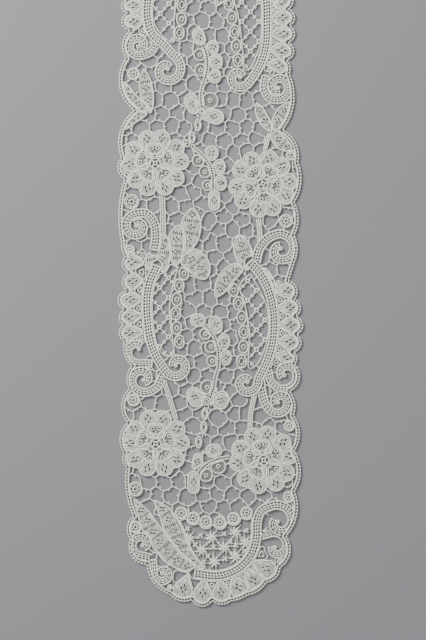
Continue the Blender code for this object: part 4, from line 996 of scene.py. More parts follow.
# bead chains down the inside of each medallion, with open and sheer beads by turns
chains = {
    "rows": [
        ("bead_chain_left_1", [(-14.7, 199.6), (-17.5, 192.3), (-19.0, 183.9), (-19.6, 175.4), (-19.0, 166.8),
         (-17.4, 158.6)]),
        ("bead_chain_right_1", [(15.1, 189.6), (18.0, 181.6), (19.9, 173.0), (21.2, 164.3), (21.0, 155.5),
         (19.9, 146.8)]),
        ("bead_chain_left_2", [(-15.4, 369.0), (-15.9, 360.6), (-16.2, 352.2), (-17.4, 343.9)]),
        ("bead_chain_right_2", [(10.8, 369.0), (12.3, 361.2), (14.1, 352.9), (15.7, 344.5), (16.7, 335.9),
         (17.7, 327.4)]),
    ],
    "bead": (3.3, 4.7),
    "ringRadius": 1.15,
}
for name, beads in chains["rows"]:
    for k, (x, s) in enumerate(beads):
        if k % 2:
            makeOpenOval(name, x, s, *chains["bead"])
        else:
            bead = [pointedOval(x, s, *chains["bead"])]
            addSheer(name, bead, 0.0, threads["cordonnet"], [(x, s)], chains["ringRadius"])

# the line that carries the scallops and its width, then x, s, half width, half height and turn of each
scallops = {
    "rows": [
        ("scallops_left_1", [(-40.3, 209.0), (-40.9, 195.0), (-41.6, 184.0), (-41.6, 172.0), (-40.5, 160.0)],
         4.0, [
            (-45.6, 206.4, 6.4, 5.2), (-44.9, 195.0, 6.6, 5.4), (-46.4, 184.0, 6.8, 5.4),
            (-46.9, 173.7, 6.8, 5.2), (-46.9, 164.0, 6.6, 5.2),
        ]),
        ("scallops_right_1", [(41.4, 192.0), (43.2, 180.0), (43.6, 168.0), (42.8, 156.0), (41.0, 147.0)],
         4.0, [
            (47.6, 189.4, 6.2, 5.2), (48.8, 179.2, 6.4, 5.4), (49.2, 168.6, 6.4, 5.4),
            (48.5, 158.4, 6.4, 5.2), (47.0, 149.4, 6.0, 4.6),
        ]),
        ("scallops_left_2", [(-40.0, 374.0), (-40.6, 362.0), (-40.0, 352.0), (-38.2, 344.5)], 4.0, [
            (-44.9, 370.0, 6.6, 5.4), (-44.7, 360.4, 6.6, 5.2), (-44.2, 350.6, 6.6, 5.2),
        ]),
        ("scallops_right_2", [(38.6, 376.0), (38.6, 362.0), (39.0, 352.0), (39.0, 340.0), (38.0, 330.0),
         (36.5, 321.0)], 4.0, [
            (44.0, 372.4, 6.2, 5.4), (43.5, 362.4, 6.2, 5.2), (44.1, 352.8, 6.4, 5.2),
            (44.6, 343.2, 6.4, 5.2), (43.8, 333.3, 6.2, 5.2), (41.7, 324.4, 6.0, 4.6),
        ]),
        ("scallops_shell", [(-17.6, 17.6), (-7.4, 14.3), (2.2, 13.0), (11.9, 14.2), (20.6, 18.4),
         (27.2, 23.6), (31.4, 31.6)], 5.4, [
            (-15.1, 10.1, 6.0, 5.6), (-3.5, 7.4, 5.8, 5.5), (7.7, 7.9, 5.8, 5.4),
            (18.3, 10.9, 5.7, 5.5), (27.2, 15.0, 5.7, 5.5), (35.0, 22.2, 5.7, 5.5),
        ]),
    ],
    "carrierStep": 0.5,
    "step": 0.7,
    "point": 0.5,  # radius at the inner point
    "wider": 1.13,
    "further": -0.5,  # outwards than the rows say
    "slitsIn": 0.3,  # from there back to the middle of the slits
    "slant": 25.0,
    "carrier": 1.7,  # of the carrying line's width, for the triangles between the scallops
    "triangle": (2.5, 60.0),  # its least and largest area
    "triangleRoom": 1.1,
    "inner": (0.42, 0.28),  # of the triangle, and the girth of the thread
    "spokes": (0.9, 1.9, 3, 0.2, 90.0),
}


def makeScallops(name, line, width, rows):
    carrier = np.array(smooth(line, scallops["carrierStep"]))
    for x, s, across, along in rows:
        nearest = nearestOn(carrier, x, s)
        out = np.array([x, s]) - nearest
        out /= np.linalg.norm(out)
        radius = min(across, along) * scallops["wider"]
        tip = nearest - out * width * 0.5
        body = np.array([x, s]) + out * (max(across - along, 0.0) + scallops["further"])
        way = math.degrees(math.atan2(out[1], out[0]))
        slits = diamond(*(body - out * scallops["slitsIn"]), way, slant=scallops["slant"])
        addCloth(name, [brush([tip, body], 2 * scallops["point"], 2 * radius)], way, slits)
    region, _, patch = claim(name, [brush(list(carrier), width * scallops["carrier"])])
    least, largest = scallops["triangle"]
    share, girth = scallops["inner"]
    for loop in contours(region, patch, -threads["fine"]):
        if areaOf(loop) < least:
            continue
        addLine(name, evenly(loop, scallops["step"], True), threads["fine"], cordHeight, closed=True)
        centre = loop.mean(axis=0)
        if areaOf(loop) < largest and patch.read(region, [centre])[0] < -scallops["triangleRoom"]:
            inner = centre + (evenly(loop, threads["step"], True) - centre) * share
            addLine(name, inner, girth, fineHeight, closed=True)
            addSpokes(name, *centre, *scallops["spokes"])


for row in scallops["rows"]:
    makeScallops(*row)
print("chains and scallops drawn")

# the spaces inside the bands, each as a closed line
fillings = {
    "rows": [
        ("filling_left_1", [(-24.6, 204.6), (-31.4, 196.4), (-34.0, 186.4), (-34.2, 172.8), (-32.1, 159.6),
         (-27.3, 150.6), (-20.5, 150.6), (-21.3, 160.6), (-23.0, 174.0), (-22.7, 183.6), (-20.9, 193.2),
         (-17.9, 205.4)]),
        ("filling_right_1", [(25.1, 199.8), (32.1, 187.8), (35.9, 177.0), (36.5, 166.8), (34.5, 156.0),
         (29.7, 145.2), (23.9, 142.4), (23.9, 153.6), (24.3, 163.8), (23.1, 172.8), (21.3, 181.8),
         (18.4, 192.6)]),
        ("filling_left_2", [(-29.1, 373.0), (-33.3, 363.6), (-33.8, 352.8), (-30.3, 345.0), (-25.5, 339.8),
         (-20.3, 337.8), (-20.4, 351.6), (-19.5, 360.6), (-19.0, 377.0)]),
        ("filling_right_2", [(24.1, 374.4), (31.5, 362.4), (32.3, 350.4), (31.5, 338.4), (29.1, 330.0),
         (24.9, 321.8), (20.8, 321.8), (20.7, 327.6), (19.9, 336.6), (18.9, 345.6), (17.4, 354.6),
         (15.0, 366.6)]),
        ("filling_shell", [(-19.5, 54.0), (-16.3, 45.0), (-13.0, 34.0), (-8.5, 26.0), (-3.0, 21.5),
         (6.6, 19.0), (17.5, 23.5), (25.0, 30.5), (28.6, 40.0), (28.4, 53.0), (15.0, 53.0), (7.0, 50.0),
         (-1.5, 50.0), (-9.0, 53.0)]),
    ],
    "pitch": (10.4, 5.9),  # of the rings, across and from a row to the next
    "bar": 0.36,
    "ring": 1.02,
    "ringGirth": 0.48,
    "ringRoom": 0.9,  # inside the space, round a ring's middle
    "barRoom": 0.1,
    "barStep": 1.2,
    "picotRoom": 1.4,
    "thread": 0.2,
}

ground = {
    "pitch": 9.1,
    "jitter": 0.22,  # of the pitch
    "bar": 0.33,
    "bow": 0.13,  # of a bar's length
    "leastBar": 1.6,
    "longestBar": 20.0,
    "barStep": 1.2,
    "overlap": 0.45,  # of a bar's ends and what they are worked to
    "leastRoom": 0.3,
    "picotSpacing": 4.6,
    "picotWander": 0.05,  # of a bar's length
    "beads": [
        (-43.8, 47.4, 3.9), (-43.8, 70.2, 4.6), (-44.9, 123.6, 3.9), (-47.2, 213.6, 3.2),
        (-46.1, 242.6, 4.6), (-44.9, 319.2, 3.9), *lifted([(-46.1, 242.6, 4.6), (-47.2, 213.6, 3.2)]),
        (43.5, 26.4, 2.6), (48.2, 65.4, 3.6), (48.4, 108.0, 3.4), (46.5, 231.0, 4.2), (50.0, 270.6, 3.6),
        *lifted([(46.5, 231.0, 4.2), (50.0, 270.6, 3.6)]), (-23.1, 11.4, 1.8),
    ],
}

netRandom = random.Random(strip["seed"])


def lattice(low, high, pitch):  # the middles of the cells of an uneven honeycomb
    rise = pitch * math.sqrt(3) / 2
    rows = math.ceil((high[1] - low[1]) / rise) + 4
    columns = math.ceil((high[0] - low[0]) / pitch) + 4
    wander = pitch * ground["jitter"]
    return [Vector((low[0] + pitch * (column - 1.5 + (row % 2) / 2) + netRandom.uniform(-wander, wander),
                    low[1] + rise * (row - 1.5) + netRandom.uniform(-wander, wander)))
            for row in range(rows) for column in range(columns)]


def ringMiddle(a, b, c):
    d = 2 * (a.x * (b.y - c.y) + b.x * (c.y - a.y) + c.x * (a.y - b.y))
    squares = [p.length_squared for p in (a, b, c)]
    x = (squares[0] * (b.y - c.y) + squares[1] * (c.y - a.y) + squares[2] * (a.y - b.y)) / d
    y = (squares[0] * (c.x - b.x) + squares[1] * (a.x - c.x) + squares[2] * (b.x - a.x)) / d
    return x, y


def barsBetween(seeds):
    verts, _, faces, *_ = delaunay_2d_cdt(seeds, [], [], 0, 1e-4, True)
    joints = {}
    for face in faces:
        spot = ringMiddle(*(verts[k] for k in face))
        for a, b in zip(face, face[1:] + face[:1]):
            joints.setdefault((min(a, b), max(a, b)), []).append(spot)
    return [pair for pair in joints.values() if len(pair) == 2 and math.dist(*pair) < ground["longestBar"]]


groundBars = barsBetween(lattice(outlineLow, outlineHigh, ground["pitch"]))


def openSpace(name, points):  # the free room within a closed line, with a thread round it
    space = np.array(smooth(points + points[:1])[:-1])
    patch = patchRound([np.column_stack([space, np.zeros(len(space))])])
    region, _ = take(name, outlineDistance(space, patch), patch)
    for loop in contours(region, patch, -threads["fine"]):
        if areaOf(loop) > threads["leastArea"]:
            addLine(name, evenly(loop, threads["step"], True), threads["rim"], cordHeight, closed=True)
    return space, region, patch


def clipped(a, b, inside, step=0.3):  # the stretch of a line where the test holds
    a, b = np.array(a), np.array(b)
    count = max(3, math.ceil(np.linalg.norm(b - a) / step))
    line = a + (b - a) * np.linspace(0, 1, count + 1)[:, None]
    held = np.flatnonzero(inside(line))
    return line[[held[0], held[-1]]] if len(held) > 1 else None


def makeFilling(name, points):
    space, region, patch = openSpace(name, points)
    wide, tall = fillings["pitch"]
    ring = fillings["ring"]
    free = lambda line: patch.read(region, line) < fillings["barRoom"]
    low, high = space.min(axis=0), space.max(axis=0)
    for j in range(math.ceil((high[1] - low[1]) / tall) + 1):
        for i in range(-1, math.ceil((high[0] - low[0]) / wide) + 1):
            spot = np.array([low[0] + wide * (i + 0.5 * (j % 2)), low[1] + tall * j])
            inside = patch.read(region, [spot])[0] < -fillings["ringRoom"]
            for side in (-1, 1):
                joint = spot + (side * wide / 2, tall)
                way = (joint - spot) / np.linalg.norm(joint - spot)
                bar = clipped(spot + way * (ring if inside else 0), joint - way * ring, free)
                if bar is None:
                    continue
                addLine(name, evenly(bar, fillings["barStep"], False), fillings["bar"], fineHeight)
                centre = bar.mean(axis=0)
                if patch.read(region, [centre])[0] < -fillings["picotRoom"]:
                    work(name).picots += [(*centre, *(turn * leftOf(way))) for turn in (-1, 1)]
            if inside:
                addRing(name, *spot, ring, fillings["ringGirth"])


rosettes = {
    "places": [(-11.7, 40.4), (2.1, 41.2), (16.3, 44.2), (-4.0, 33.6), (9.8, 35.0), (22.4, 38.1), (3.7, 26.6),
               (16.3, 29.7)],
    "crosses": [(-4.8, 42.6), (9.2, 43.4), (-8.0, 36.8), (3.0, 35.4), (13.0, 38.6), (16.4, 36.6),
                (-0.4, 30.0), (9.8, 28.4), (21.6, 33.0), (22.6, 45.4), (-12.6, 46.6), (-3.0, 26.6)],
    "petals": 8,
    "turn": 11.0,
    "petal": [(0.4, 0.0, 0.35), (1.75, 0.1, 0.62), (2.87, 0.14, 0.56), (3.5, 0.2, 0.22)],  # out, swing, girth
    "hub": (0.6, 0.32),
    "crossReach": 1.7,
    "crossGirths": [0.34, 0.56],
    "ray": 5.6,
    "joined": 16.8,  # rosettes nearer than this have a thread between them
}


def makeShellFilling(name, points):
    _, region, patch = openSpace(name, points)
    inside = lambda line: patch.read(region, line) < 0
    turns = [360.0 / rosettes["petals"] * k + rosettes["turn"] for k in range(rosettes["petals"])]
    for x, s in rosettes["places"]:
        for angle in map(math.radians, turns):
            run = [(x + reach * math.cos(angle + swing), s + reach * math.sin(angle + swing))
                   for reach, swing, _ in rosettes["petal"]]
            run = [p for p in run if inside(np.array([p]))[0]]
            if len(run) > 1:
                addLine(name, run, [girth for _, _, girth in rosettes["petal"]][:len(run)], cordHeight)
        addRing(name, x, s, *rosettes["hub"], cordHeight + 0.3, 8)
    for spot in map(np.array, rosettes["crosses"]):
        for k in range(4):
            end = spot + rosettes["crossReach"] * wayAt(90.0 * k + 45.0)
            addLine(name, [spot, end], rosettes["crossGirths"], cordHeight)
    spots = [np.array(p) for p in rosettes["places"]]
    for k, spot in enumerate(spots):
        ends = [other for other in spots[k + 1:] if np.linalg.norm(spot - other) < rosettes["joined"]]
        ends += [spot + rosettes["ray"] * wayAt(turn) for turn in turns]
        for end in ends:
            run = clipped(spot, end, inside)
            if run is not None:
                addLine(name, run, fillings["thread"], fineHeight - 0.2)


for name, points in fillings["rows"]:
    (makeShellFilling if name == "filling_shell" else makeFilling)(name, points)
print("fillings drawn")

groundRandom = random.Random(strip["seed"] + 1)


def makeGround(name):  # the ring beads, and bars with picots in the room that is left
    for x, s, radius in ground["beads"]:
        makeBead(name, x, s, radius)
    room = np.minimum(taken, -outside)
    addArea(name, -room)
    for a, b in groundBars:
        bar = clipped(a, b, lambda line: whole.read(room, line) > -ground["overlap"])
        if bar is None:
            continue
        start, run = bar[0], bar[1] - bar[0]
        length = np.linalg.norm(run)
        if length < ground["leastBar"] or whole.read(room, [bar.mean(axis=0)])[0] < ground["leastRoom"]:
            continue
        side = leftOf(run / length)
        bow = groundRandom.uniform(-1, 1) * ground["bow"] * length
        shares = np.linspace(0, 1, max(4, round(length / ground["barStep"])))
        line = start + run * shares[:, None] + side * (4 * bow * shares * (1 - shares))[:, None]
        addLine(name, line, ground["bar"], fineHeight)
        out = side * (1 if groundRandom.random() < 0.5 else -1)
        count = int(length / ground["picotSpacing"])
        for k in range(count):
            wander = groundRandom.uniform(-ground["picotWander"], ground["picotWander"])
            share = (k + 1) / (count + 1) + wander
            spot = start + run * share + side * 4 * bow * share * (1 - share)
            work(name).picots.append((*spot, *out))


makeGround("ground_1")
print("ground drawn")

braid = {
    "cordInset": 1.55,
    "cord": 0.46,
    "loopInset": -0.15,
    "loop": 0.2,
    "step": 0.6,
    "endRoom": 0.2,  # below the heading
    "near": 0.4,
    "knotPitch": 1.95,
    "knot": (0.68, 0.5),
    "spoke": 0.2,
}


def makeBraid():
    belowLine = belowHeading + strip["seam"]
    band = np.maximum(np.maximum(edgeField, -edgeField - strip["braidWidth"]), belowLine)
    for name, half in (("edging_left", whole.x), ("edging_right", -whole.x)):
        addArea(name, np.maximum(band, half))
    for inset, girth, height in ((braid["cordInset"], braid["cord"], cordHeight),
                                 (braid["loopInset"], braid["loop"], fineHeight)):
        loop = evenly(max(contours(edgeField, whole, -inset), key=areaOf), braid["step"], True)
        loop = np.roll(loop, -int(np.argmax(loop[:, 1])), axis=0)
        keep = loop[loop[:, 1] < strip["length"] - strip["headingWidth"] - braid["endRoom"]]
        turn = int(np.argmin(keep[:, 1]))
        halves = {"edging_left": keep[:turn + 1], "edging_right": keep[turn:]}
        for name, run in halves.items():
            addLine(name, run, girth, height)
    return halves  # of the outer cord, which carries the knots


def addBraidSpokes(name, run):  # from each knot in to the cord
    near = braid["near"]
    for spot in evenly(run, braid["knotPitch"], False):
        around = [spot + (near, 0), spot - (near, 0), spot + (0, near), spot - (0, near)]
        right, left, above, below = whole.read(edgeField, around)
        way = np.array([right - left, above - below])
        way /= max(np.linalg.norm(way), 1e-6)
        inner = spot - way * (braid["cordInset"] - braid["loopInset"])
        addLine(name, [inner, spot], braid["spoke"], fineHeight)


knotLines = makeBraid()
for name, run in knotLines.items():
    addBraidSpokes(name, run)
print("braid drawn")


def put(tree, kind, settings=None, inputs=None):
    made = tree.nodes.new(kind)
    for name, value in (settings or {}).items():
        setattr(made, name, value)
    for key, value in (inputs or {}).items():
        value = getattr(value, "socket", value)
        if isinstance(value, bpy.types.NodeSocket):
            tree.links.new(value, made.inputs[key])
        else:
            made.inputs[key].default_value = value
    return made


class Amount:
    # a socket in a shader, with the sums that the materials use
    def __init__(self, tree, socket):
        self.tree, self.socket = tree, socket

    def sum(self, operation, first, second):
        made = put(self.tree, "ShaderNodeMath", {"operation": operation}, {0: first, 1: second})
        return Amount(self.tree, made.outputs[0])

    def __add__(self, other):
        return self.sum("ADD", self, other)

    def __mul__(self, other):
        return self.sum("MULTIPLY", self, other)

    def __sub__(self, other):
        return self.sum("SUBTRACT", self, other)

    def __rsub__(self, other):
        return self.sum("SUBTRACT", other, self)

    __radd__ = __add__
    __rmul__ = __mul__

    def wave(self, pitch):  # a sine of this length, from 0 to 1
        return self.sum("SINE", self * (2 * math.pi / pitch), 0.0) * 0.5 + 0.5


class Look:
    # one material, with its Principled shader
    def __init__(self, name, roughness, sheen):
        self.material = bpy.data.materials.new(name)
        self.material.use_nodes = True
        self.tree = self.material.node_tree
        self.shader = self.tree.nodes["Principled BSDF"]
        self.shader.inputs["Roughness"].default_value = roughness
        self.shader.inputs["Sheen Weight"].default_value = sheen
        self.shader.inputs["Specular IOR Level"].default_value = 0.25

    def node(self, kind, settings=None, inputs=None, output=0):
        return Amount(self.tree, put(self.tree, kind, settings, inputs).outputs[output])

    def noise(self, size, detail=2.0):  # size in millimetres
        at = self.node("ShaderNodeTexCoord", output="Object")
        inputs = {"Vector": at, "Scale": 1 / (size * mm), "Detail": detail}
        return self.node("ShaderNodeTexNoise", None, inputs)

    def weave(self):  # the place in the cloth or along the cord in millimetres, and its two parts
        spot = self.node("ShaderNodeAttribute", {"attribute_name": "weave"}, output="Vector")
        parts = put(self.tree, "ShaderNodeSeparateXYZ", None, {0: spot})
        return [spot] + [Amount(self.tree, parts.outputs[k]) for k in range(2)]

    def mix(self, share, first, second):
        made = put(self.tree, "ShaderNodeMix", {"data_type": "RGBA"}, {"Factor": share, 6: first, 7: second})
        return Amount(self.tree, made.outputs[2])

    def finish(self, colour, height, depth, strength):
        self.tree.links.new(colour.socket, self.shader.inputs["Base Color"])
        bump = put(self.tree, "ShaderNodeBump", None, {"Height": height, "Distance": depth * mm,
                                                       "Strength": strength})
        self.tree.links.new(bump.outputs[0], self.shader.inputs["Normal"])
        return self.material


clothLook = {
    "finish": (0.78, 0.15),  # roughness and sheen
    "dark": (0.13, 0.12, 0.093, 1.0),
    "light": (0.80, 0.77, 0.675, 1.0),
    "cool": (0.68, 0.68, 0.65, 1.0),
    "coolShare": 0.3,
    "coolSize": 24.0,
    "wobble": (1.4, 0.5),  # size and strength
    "rowPitch": 0.62,
    "threadPitch": 0.5,
    "streak": (0.24, 0.95, 1.0),
    "stitchShade": 0.16,
    "streakShade": 4.6,
    "shade": 0.4,
    "bump": (0.3, 0.8),  # depth and strength
}
cordLook = {
    "finish": (0.62, 0.1),
    "dark": (0.74, 0.70, 0.59, 1.0),
    "light": (0.97, 0.945, 0.85, 1.0),
    "stitch": 0.55,
    "bump": (0.1, 0.6),
}
netLook = {
    "finish": (0.75, 0.1),
    "dark": (0.34, 0.33, 0.30, 1.0),
    "light": (0.50, 0.49, 0.45, 1.0),
    "bump": (0.05, 0.5),
}
tapeLook = {
    "finish": (0.8, 0.15),
    "dark": (0.56, 0.53, 0.46, 1.0),
    "light": (0.84, 0.815, 0.745, 1.0),
    "pitch": 0.6,
    "bump": (0.15, 0.8),
}


def makeCloth():
    look = Look("cloth_work", *clothLook["finish"])
    weave, along, across = look.weave()
    size, strength = clothLook["wobble"]
    wobble = look.noise(size) * strength
    rows = (along + wobble).wave(clothLook["rowPitch"])
    lines = (across + wobble).wave(clothLook["threadPitch"])
    stitches = rows * 0.45 + lines * 0.55
    stretch = {0: weave, 1: clothLook["streak"]}
    stretched = look.node("ShaderNodeVectorMath", {"operation": "MULTIPLY"}, stretch)
    streaks = look.node("ShaderNodeTexNoise", None, {"Vector": stretched, "Scale": 1.0, "Detail": 3.0,
                                                     "Roughness": 0.65})
    shade = (stitches * clothLook["stitchShade"] + (streaks - 0.5) * clothLook["streakShade"]
             + clothLook["shade"])
    colour = look.mix(shade, clothLook["dark"], clothLook["light"])
    tint = look.mix(look.noise(clothLook["coolSize"]), clothLook["light"], clothLook["cool"])
    colour = look.mix(clothLook["coolShare"], colour, tint)
    return look.finish(colour, stitches * 0.6 + streaks * 1.6, *clothLook["bump"])


def makeCord():
    look = Look("cord_work", *cordLook["finish"])
    stitches = look.weave()[1].wave(cordLook["stitch"])
    shade = stitches * 0.35 + look.noise(3.0, 3.0) * 0.3 + look.noise(18.0) * 0.3 + 0.12
    colour = look.mix(shade, cordLook["dark"], cordLook["light"])
    return look.finish(colour, stitches + look.noise(0.4), *cordLook["bump"])


def makeNet():
    look = Look("sheer_work", *netLook["finish"])
    colour = look.mix(look.noise(4.0), netLook["dark"], netLook["light"])
    return look.finish(colour, look.noise(0.3), *netLook["bump"])


def makeTape():
    look = Look("tape_weave", *tapeLook["finish"])
    along, across = (part.wave(tapeLook["pitch"]) for part in look.weave()[1:])
    check = along * across + (1 - along) * (1 - across)
    shade = check * 0.6 + look.noise(5.0, 3.0) * 0.4
    return look.finish(look.mix(shade, tapeLook["dark"], tapeLook["light"]), check, *tapeLook["bump"])


looks = {"cloth": makeCloth(), "cord": makeCord(), "net": makeNet(), "tape": makeTape()}


def newTree(name, sizes):
    tree = bpy.data.node_groups.new(name, "GeometryNodeTree")
    tree.is_modifier = True
    tree.interface.new_socket("Geometry", in_out="INPUT", socket_type="NodeSocketGeometry")
    for title, kind, value in sizes:
        socket = tree.interface.new_socket(title, in_out="INPUT", socket_type="NodeSocket" + kind)
        socket.default_value = value
    tree.interface.new_socket("Geometry", in_out="OUTPUT", socket_type="NodeSocketGeometry")
    return tree, put(tree, "NodeGroupInput").outputs


def grow(tree, kind, inputs=None, settings=None, output=0):  # what a node gives
    return put(tree, kind, settings, inputs).outputs[output]


def vector(tree, *parts):
    return grow(tree, "ShaderNodeCombineXYZ", dict(enumerate(parts)))


def named(tree, name, kind="FLOAT"):
    return grow(tree, "GeometryNodeInputNamedAttribute", {"Name": name}, {"data_type": kind}, "Attribute")


def stored(tree, shape, spot):  # the place in the cloth or along the cord, for the material
    return grow(tree, "GeometryNodeStoreNamedAttribute", {0: shape, "Name": "weave", "Value": spot},
                {"data_type": "FLOAT_VECTOR"})


def copiesOn(tree, points, shape, towards, scale=(1.0, 1.0, 1.0)):  # the shape's X runs towards the vector
    position = grow(tree, "GeometryNodeInputPosition")
    spot = grow(tree, "ShaderNodeVectorMath", {0: position, "Scale": 1 / mm}, {"operation": "SCALE"})
    turn = grow(tree, "FunctionNodeAlignRotationToVector", {"Vector": towards}, {"axis": "X"})
    return grow(tree, "GeometryNodeInstanceOnPoints",
                {0: points, "Instance": stored(tree, shape, spot), "Rotation": turn, "Scale": scale})


def spacedLine(tree, given):
    curve = grow(tree, "GeometryNodeMeshToCurve", {0: given["Geometry"]})
    curve = grow(tree, "GeometryNodeResampleCurve", {0: curve, "Length": given["Pitch"]}, {"mode": "LENGTH"})
    return curve, grow(tree, "GeometryNodeInputTangent")


def endTree(tree, geometry, material):
    real = grow(tree, "GeometryNodeRealizeInstances", {0: geometry})
    shaded = grow(tree, "GeometryNodeSetShadeSmooth", {0: real, "Shade Smooth": True})
    done = grow(tree, "GeometryNodeSetMaterial", {0: shaded, "Material": material})
    put(tree, "NodeGroupOutput", None, {0: done})
    return tree


def threadTree(name, material, sides):  # lines with a girth become round threads
    tree, given = newTree(name, [("Sides", "Int", sides)])
    curve = grow(tree, "GeometryNodeMeshToCurve", {0: given["Geometry"]})
    length = grow(tree, "GeometryNodeSplineParameter", output="Length")
    inMillimetres = grow(tree, "ShaderNodeMath", {0: length, 1: 1 / mm}, {"operation": "MULTIPLY"})
    curve = stored(tree, curve, vector(tree, inMillimetres))
    ring = grow(tree, "GeometryNodeCurvePrimitiveCircle", {"Resolution": given["Sides"], "Radius": 1.0})
    tube = grow(tree, "GeometryNodeCurveToMesh",
                {0: curve, 1: ring, "Scale": named(tree, "girth"), "Fill Caps": True})
    return endTree(tree, tube, material)


def rungTree(name, material):  # rungs across a band, as long as the line's girth says
    tree, given = newTree(name, [("Pitch", "Float", bands["rungPitch"] * mm),
                                 ("Girth", "Float", bands["rung"] * mm),
                                 ("Slant", "Float", math.radians(bands["rungSlant"]))])
    curve, tangent = spacedLine(tree, given)
    bar = grow(tree, "GeometryNodeMeshCylinder", {"Vertices": 5, "Radius": given["Girth"], "Depth": 2.0})
    bar = grow(tree, "GeometryNodeTransform", {0: bar, "Rotation": vector(tree, math.pi / 2)})
    copies = copiesOn(tree, curve, bar, tangent, vector(tree, 1.0, named(tree, "girth"), 1.0))
    slanted = {0: copies, "Rotation": vector(tree, 0.0, 0.0, given["Slant"])}
    return endTree(tree, grow(tree, "GeometryNodeRotateInstances", slanted), material)


def knotTree(name, material):
    tree, given = newTree(name, [("Pitch", "Float", braid["knotPitch"] * mm),
                                 ("Length", "Float", braid["knot"][0] * mm),
                                 ("Width", "Float", braid["knot"][1] * mm)])
    curve, tangent = spacedLine(tree, given)
    ball = grow(tree, "GeometryNodeMeshUVSphere", {"Segments": 8, "Rings": 5, "Radius": 1.0})
    scale = vector(tree, given["Length"], given["Width"], given["Width"])
    return endTree(tree, copiesOn(tree, curve, ball, tangent, scale), material)


picot = {"Reach": 0.7, "Radius": 0.34, "Girth": 0.24}


def picotTree(name, material):  # small loops that stand out from the bars
    tree, given = newTree(name, [(title, "Float", size * mm) for title, size in picot.items()])
    ring = grow(tree, "GeometryNodeCurvePrimitiveCircle", {"Resolution": 6, "Radius": given["Radius"]})
    profile = grow(tree, "GeometryNodeCurvePrimitiveCircle", {"Resolution": 4, "Radius": given["Girth"]})
    loop = grow(tree, "GeometryNodeCurveToMesh", {0: ring, 1: profile})
    loop = grow(tree, "GeometryNodeTransform", {0: loop, "Translation": vector(tree, given["Reach"])})
    points = grow(tree, "GeometryNodeMeshToPoints", {0: given["Geometry"]})
    return endTree(tree, copiesOn(tree, points, loop, named(tree, "facing", "FLOAT_VECTOR")), material)


trees = {
    "lines": threadTree("threads", looks["cord"], threads["sides"]),
    "nets": threadTree("net_threads", looks["net"], 4),
    "rungs": rungTree("rungs", looks["cord"]),
    "knots": knotTree("knots", looks["cord"]),
    "picots": picotTree("picots", looks["cord"]),
}


def newObject(name, mesh):
    made = bpy.data.objects.new(name, mesh)
    bpy.context.scene.collection.objects.link(made)
    return made


def grown(name, mesh, tree):  # the mesh that the tree makes of this one
    carrier = newObject(name + "_lines", mesh)
    carrier.modifiers.new("grow", "NODES").node_group = tree
    depsgraph = bpy.context.evaluated_depsgraph_get()
    result = bpy.data.meshes.new_from_object(carrier.evaluated_get(depsgraph), depsgraph=depsgraph)
    bpy.data.objects.remove(carrier)
    return newObject(name, result)


def lineMesh(name, lines):
    verts, sides, girths = [], [], []
    for line, girth, height, closed in lines:
        first, count = len(verts), len(line)
        verts += [place(x, s, height) for x, s in line]
        sides += [(first + k, first + k + 1) for k in range(count - 1)]
        if closed:
            sides.append((first + count - 1, first))
        girths += [g * mm for g in girth]
    mesh = bpy.data.meshes.new(name)
    mesh.from_pydata(verts, sides, [])
    mesh.attributes.new("girth", "FLOAT", "POINT").data.foreach_set("value", girths)
    return mesh


def plateMesh(name, plates, material):
    verts, faces, weave = [], [], []
    for flat, top, triangles, grain in plates:
        first, count = len(verts), len(flat)
        verts += [place(x, s, z) for (x, s), z in zip(flat, top)]
        verts += [place(x, s, 0.0) for x, s in flat]
        weave += [(*g, 0.0) for g in grain] * 2
        sides = set()
        for a, b, c in triangles.tolist():
            faces.append((first + a, first + b, first + c))
            faces.append((first + count + c, first + count + b, first + count + a))
            for p, q in ((a, b), (b, c), (c, a)):
                if (q, p) in sides:
                    sides.remove((q, p))
                else:
                    sides.add((p, q))
        faces += [(first + p + count, first + q + count, first + q, first + p) for p, q in sorted(sides)]
    mesh = bpy.data.meshes.new(name)
    mesh.from_pydata(verts, [], faces)
    mesh.attributes.new("weave", "FLOAT_VECTOR", "POINT").data.foreach_set("vector", np.ravel(weave))
    mesh.materials.append(material)
    mesh.shade_smooth()
    mesh.set_sharp_from_angle(angle=math.radians(threads["sharpAngle"]))
    return mesh


def joined(name, parts):
    keep = parts[0]
    if len(parts) > 1:
        with bpy.context.temp_override(active_object=keep, selected_objects=parts,
                                       selected_editable_objects=parts):
            bpy.ops.object.join()
    keep.name = name
    keep.data.name = name
    return keep


def makePiece(job):
    name = job.name
    parts = []
    if job.plates:
        parts.append(newObject(name + "_plates", plateMesh(name + "_plates", job.plates, looks["cloth"])))
    for kind in ("lines", "nets", "rungs"):
        rows = getattr(job, kind)
        if rows:
            parts.append(grown(name + "_" + kind, lineMesh(name, rows), trees[kind]))
    if name in knotLines:
        run = knotLines[name]
        rows = [(run, np.full(len(run), 1.0), fineHeight, False)]
        parts.append(grown(name + "_knots", lineMesh(name, rows), trees["knots"]))
    if job.picots:
        mesh = bpy.data.meshes.new("picots")
        mesh.from_pydata([place(x, s, fineHeight) for x, s, _, _ in job.picots], [], [])
        facing = [(u, v, 0.0) for _, _, u, v in job.picots]
        mesh.attributes.new("facing", "FLOAT_VECTOR", "POINT").data.foreach_set("vector", np.ravel(facing))
        parts.append(grown(name + "_picots", mesh, trees["picots"]))
    return joined(name + "_lace", parts)


tape = {
    "thick": 1.2,
    "step": 0.8,
    "rows": 9,
    "lowEdge": 0.3,
    "ripple": (0.04, 1.7),
    "selvedge": 0.35,
    "selvedgeThread": (0.32, 1.0),  # girth and height
    "stitch": [(0.0, 1.6), (0.5, -0.7)],  # from the lower edge
    "stitchPitch": 2.2,
    "stitchEnds": (1.5, 1.0),
    "stitchThread": (0.17, 1.25),
}


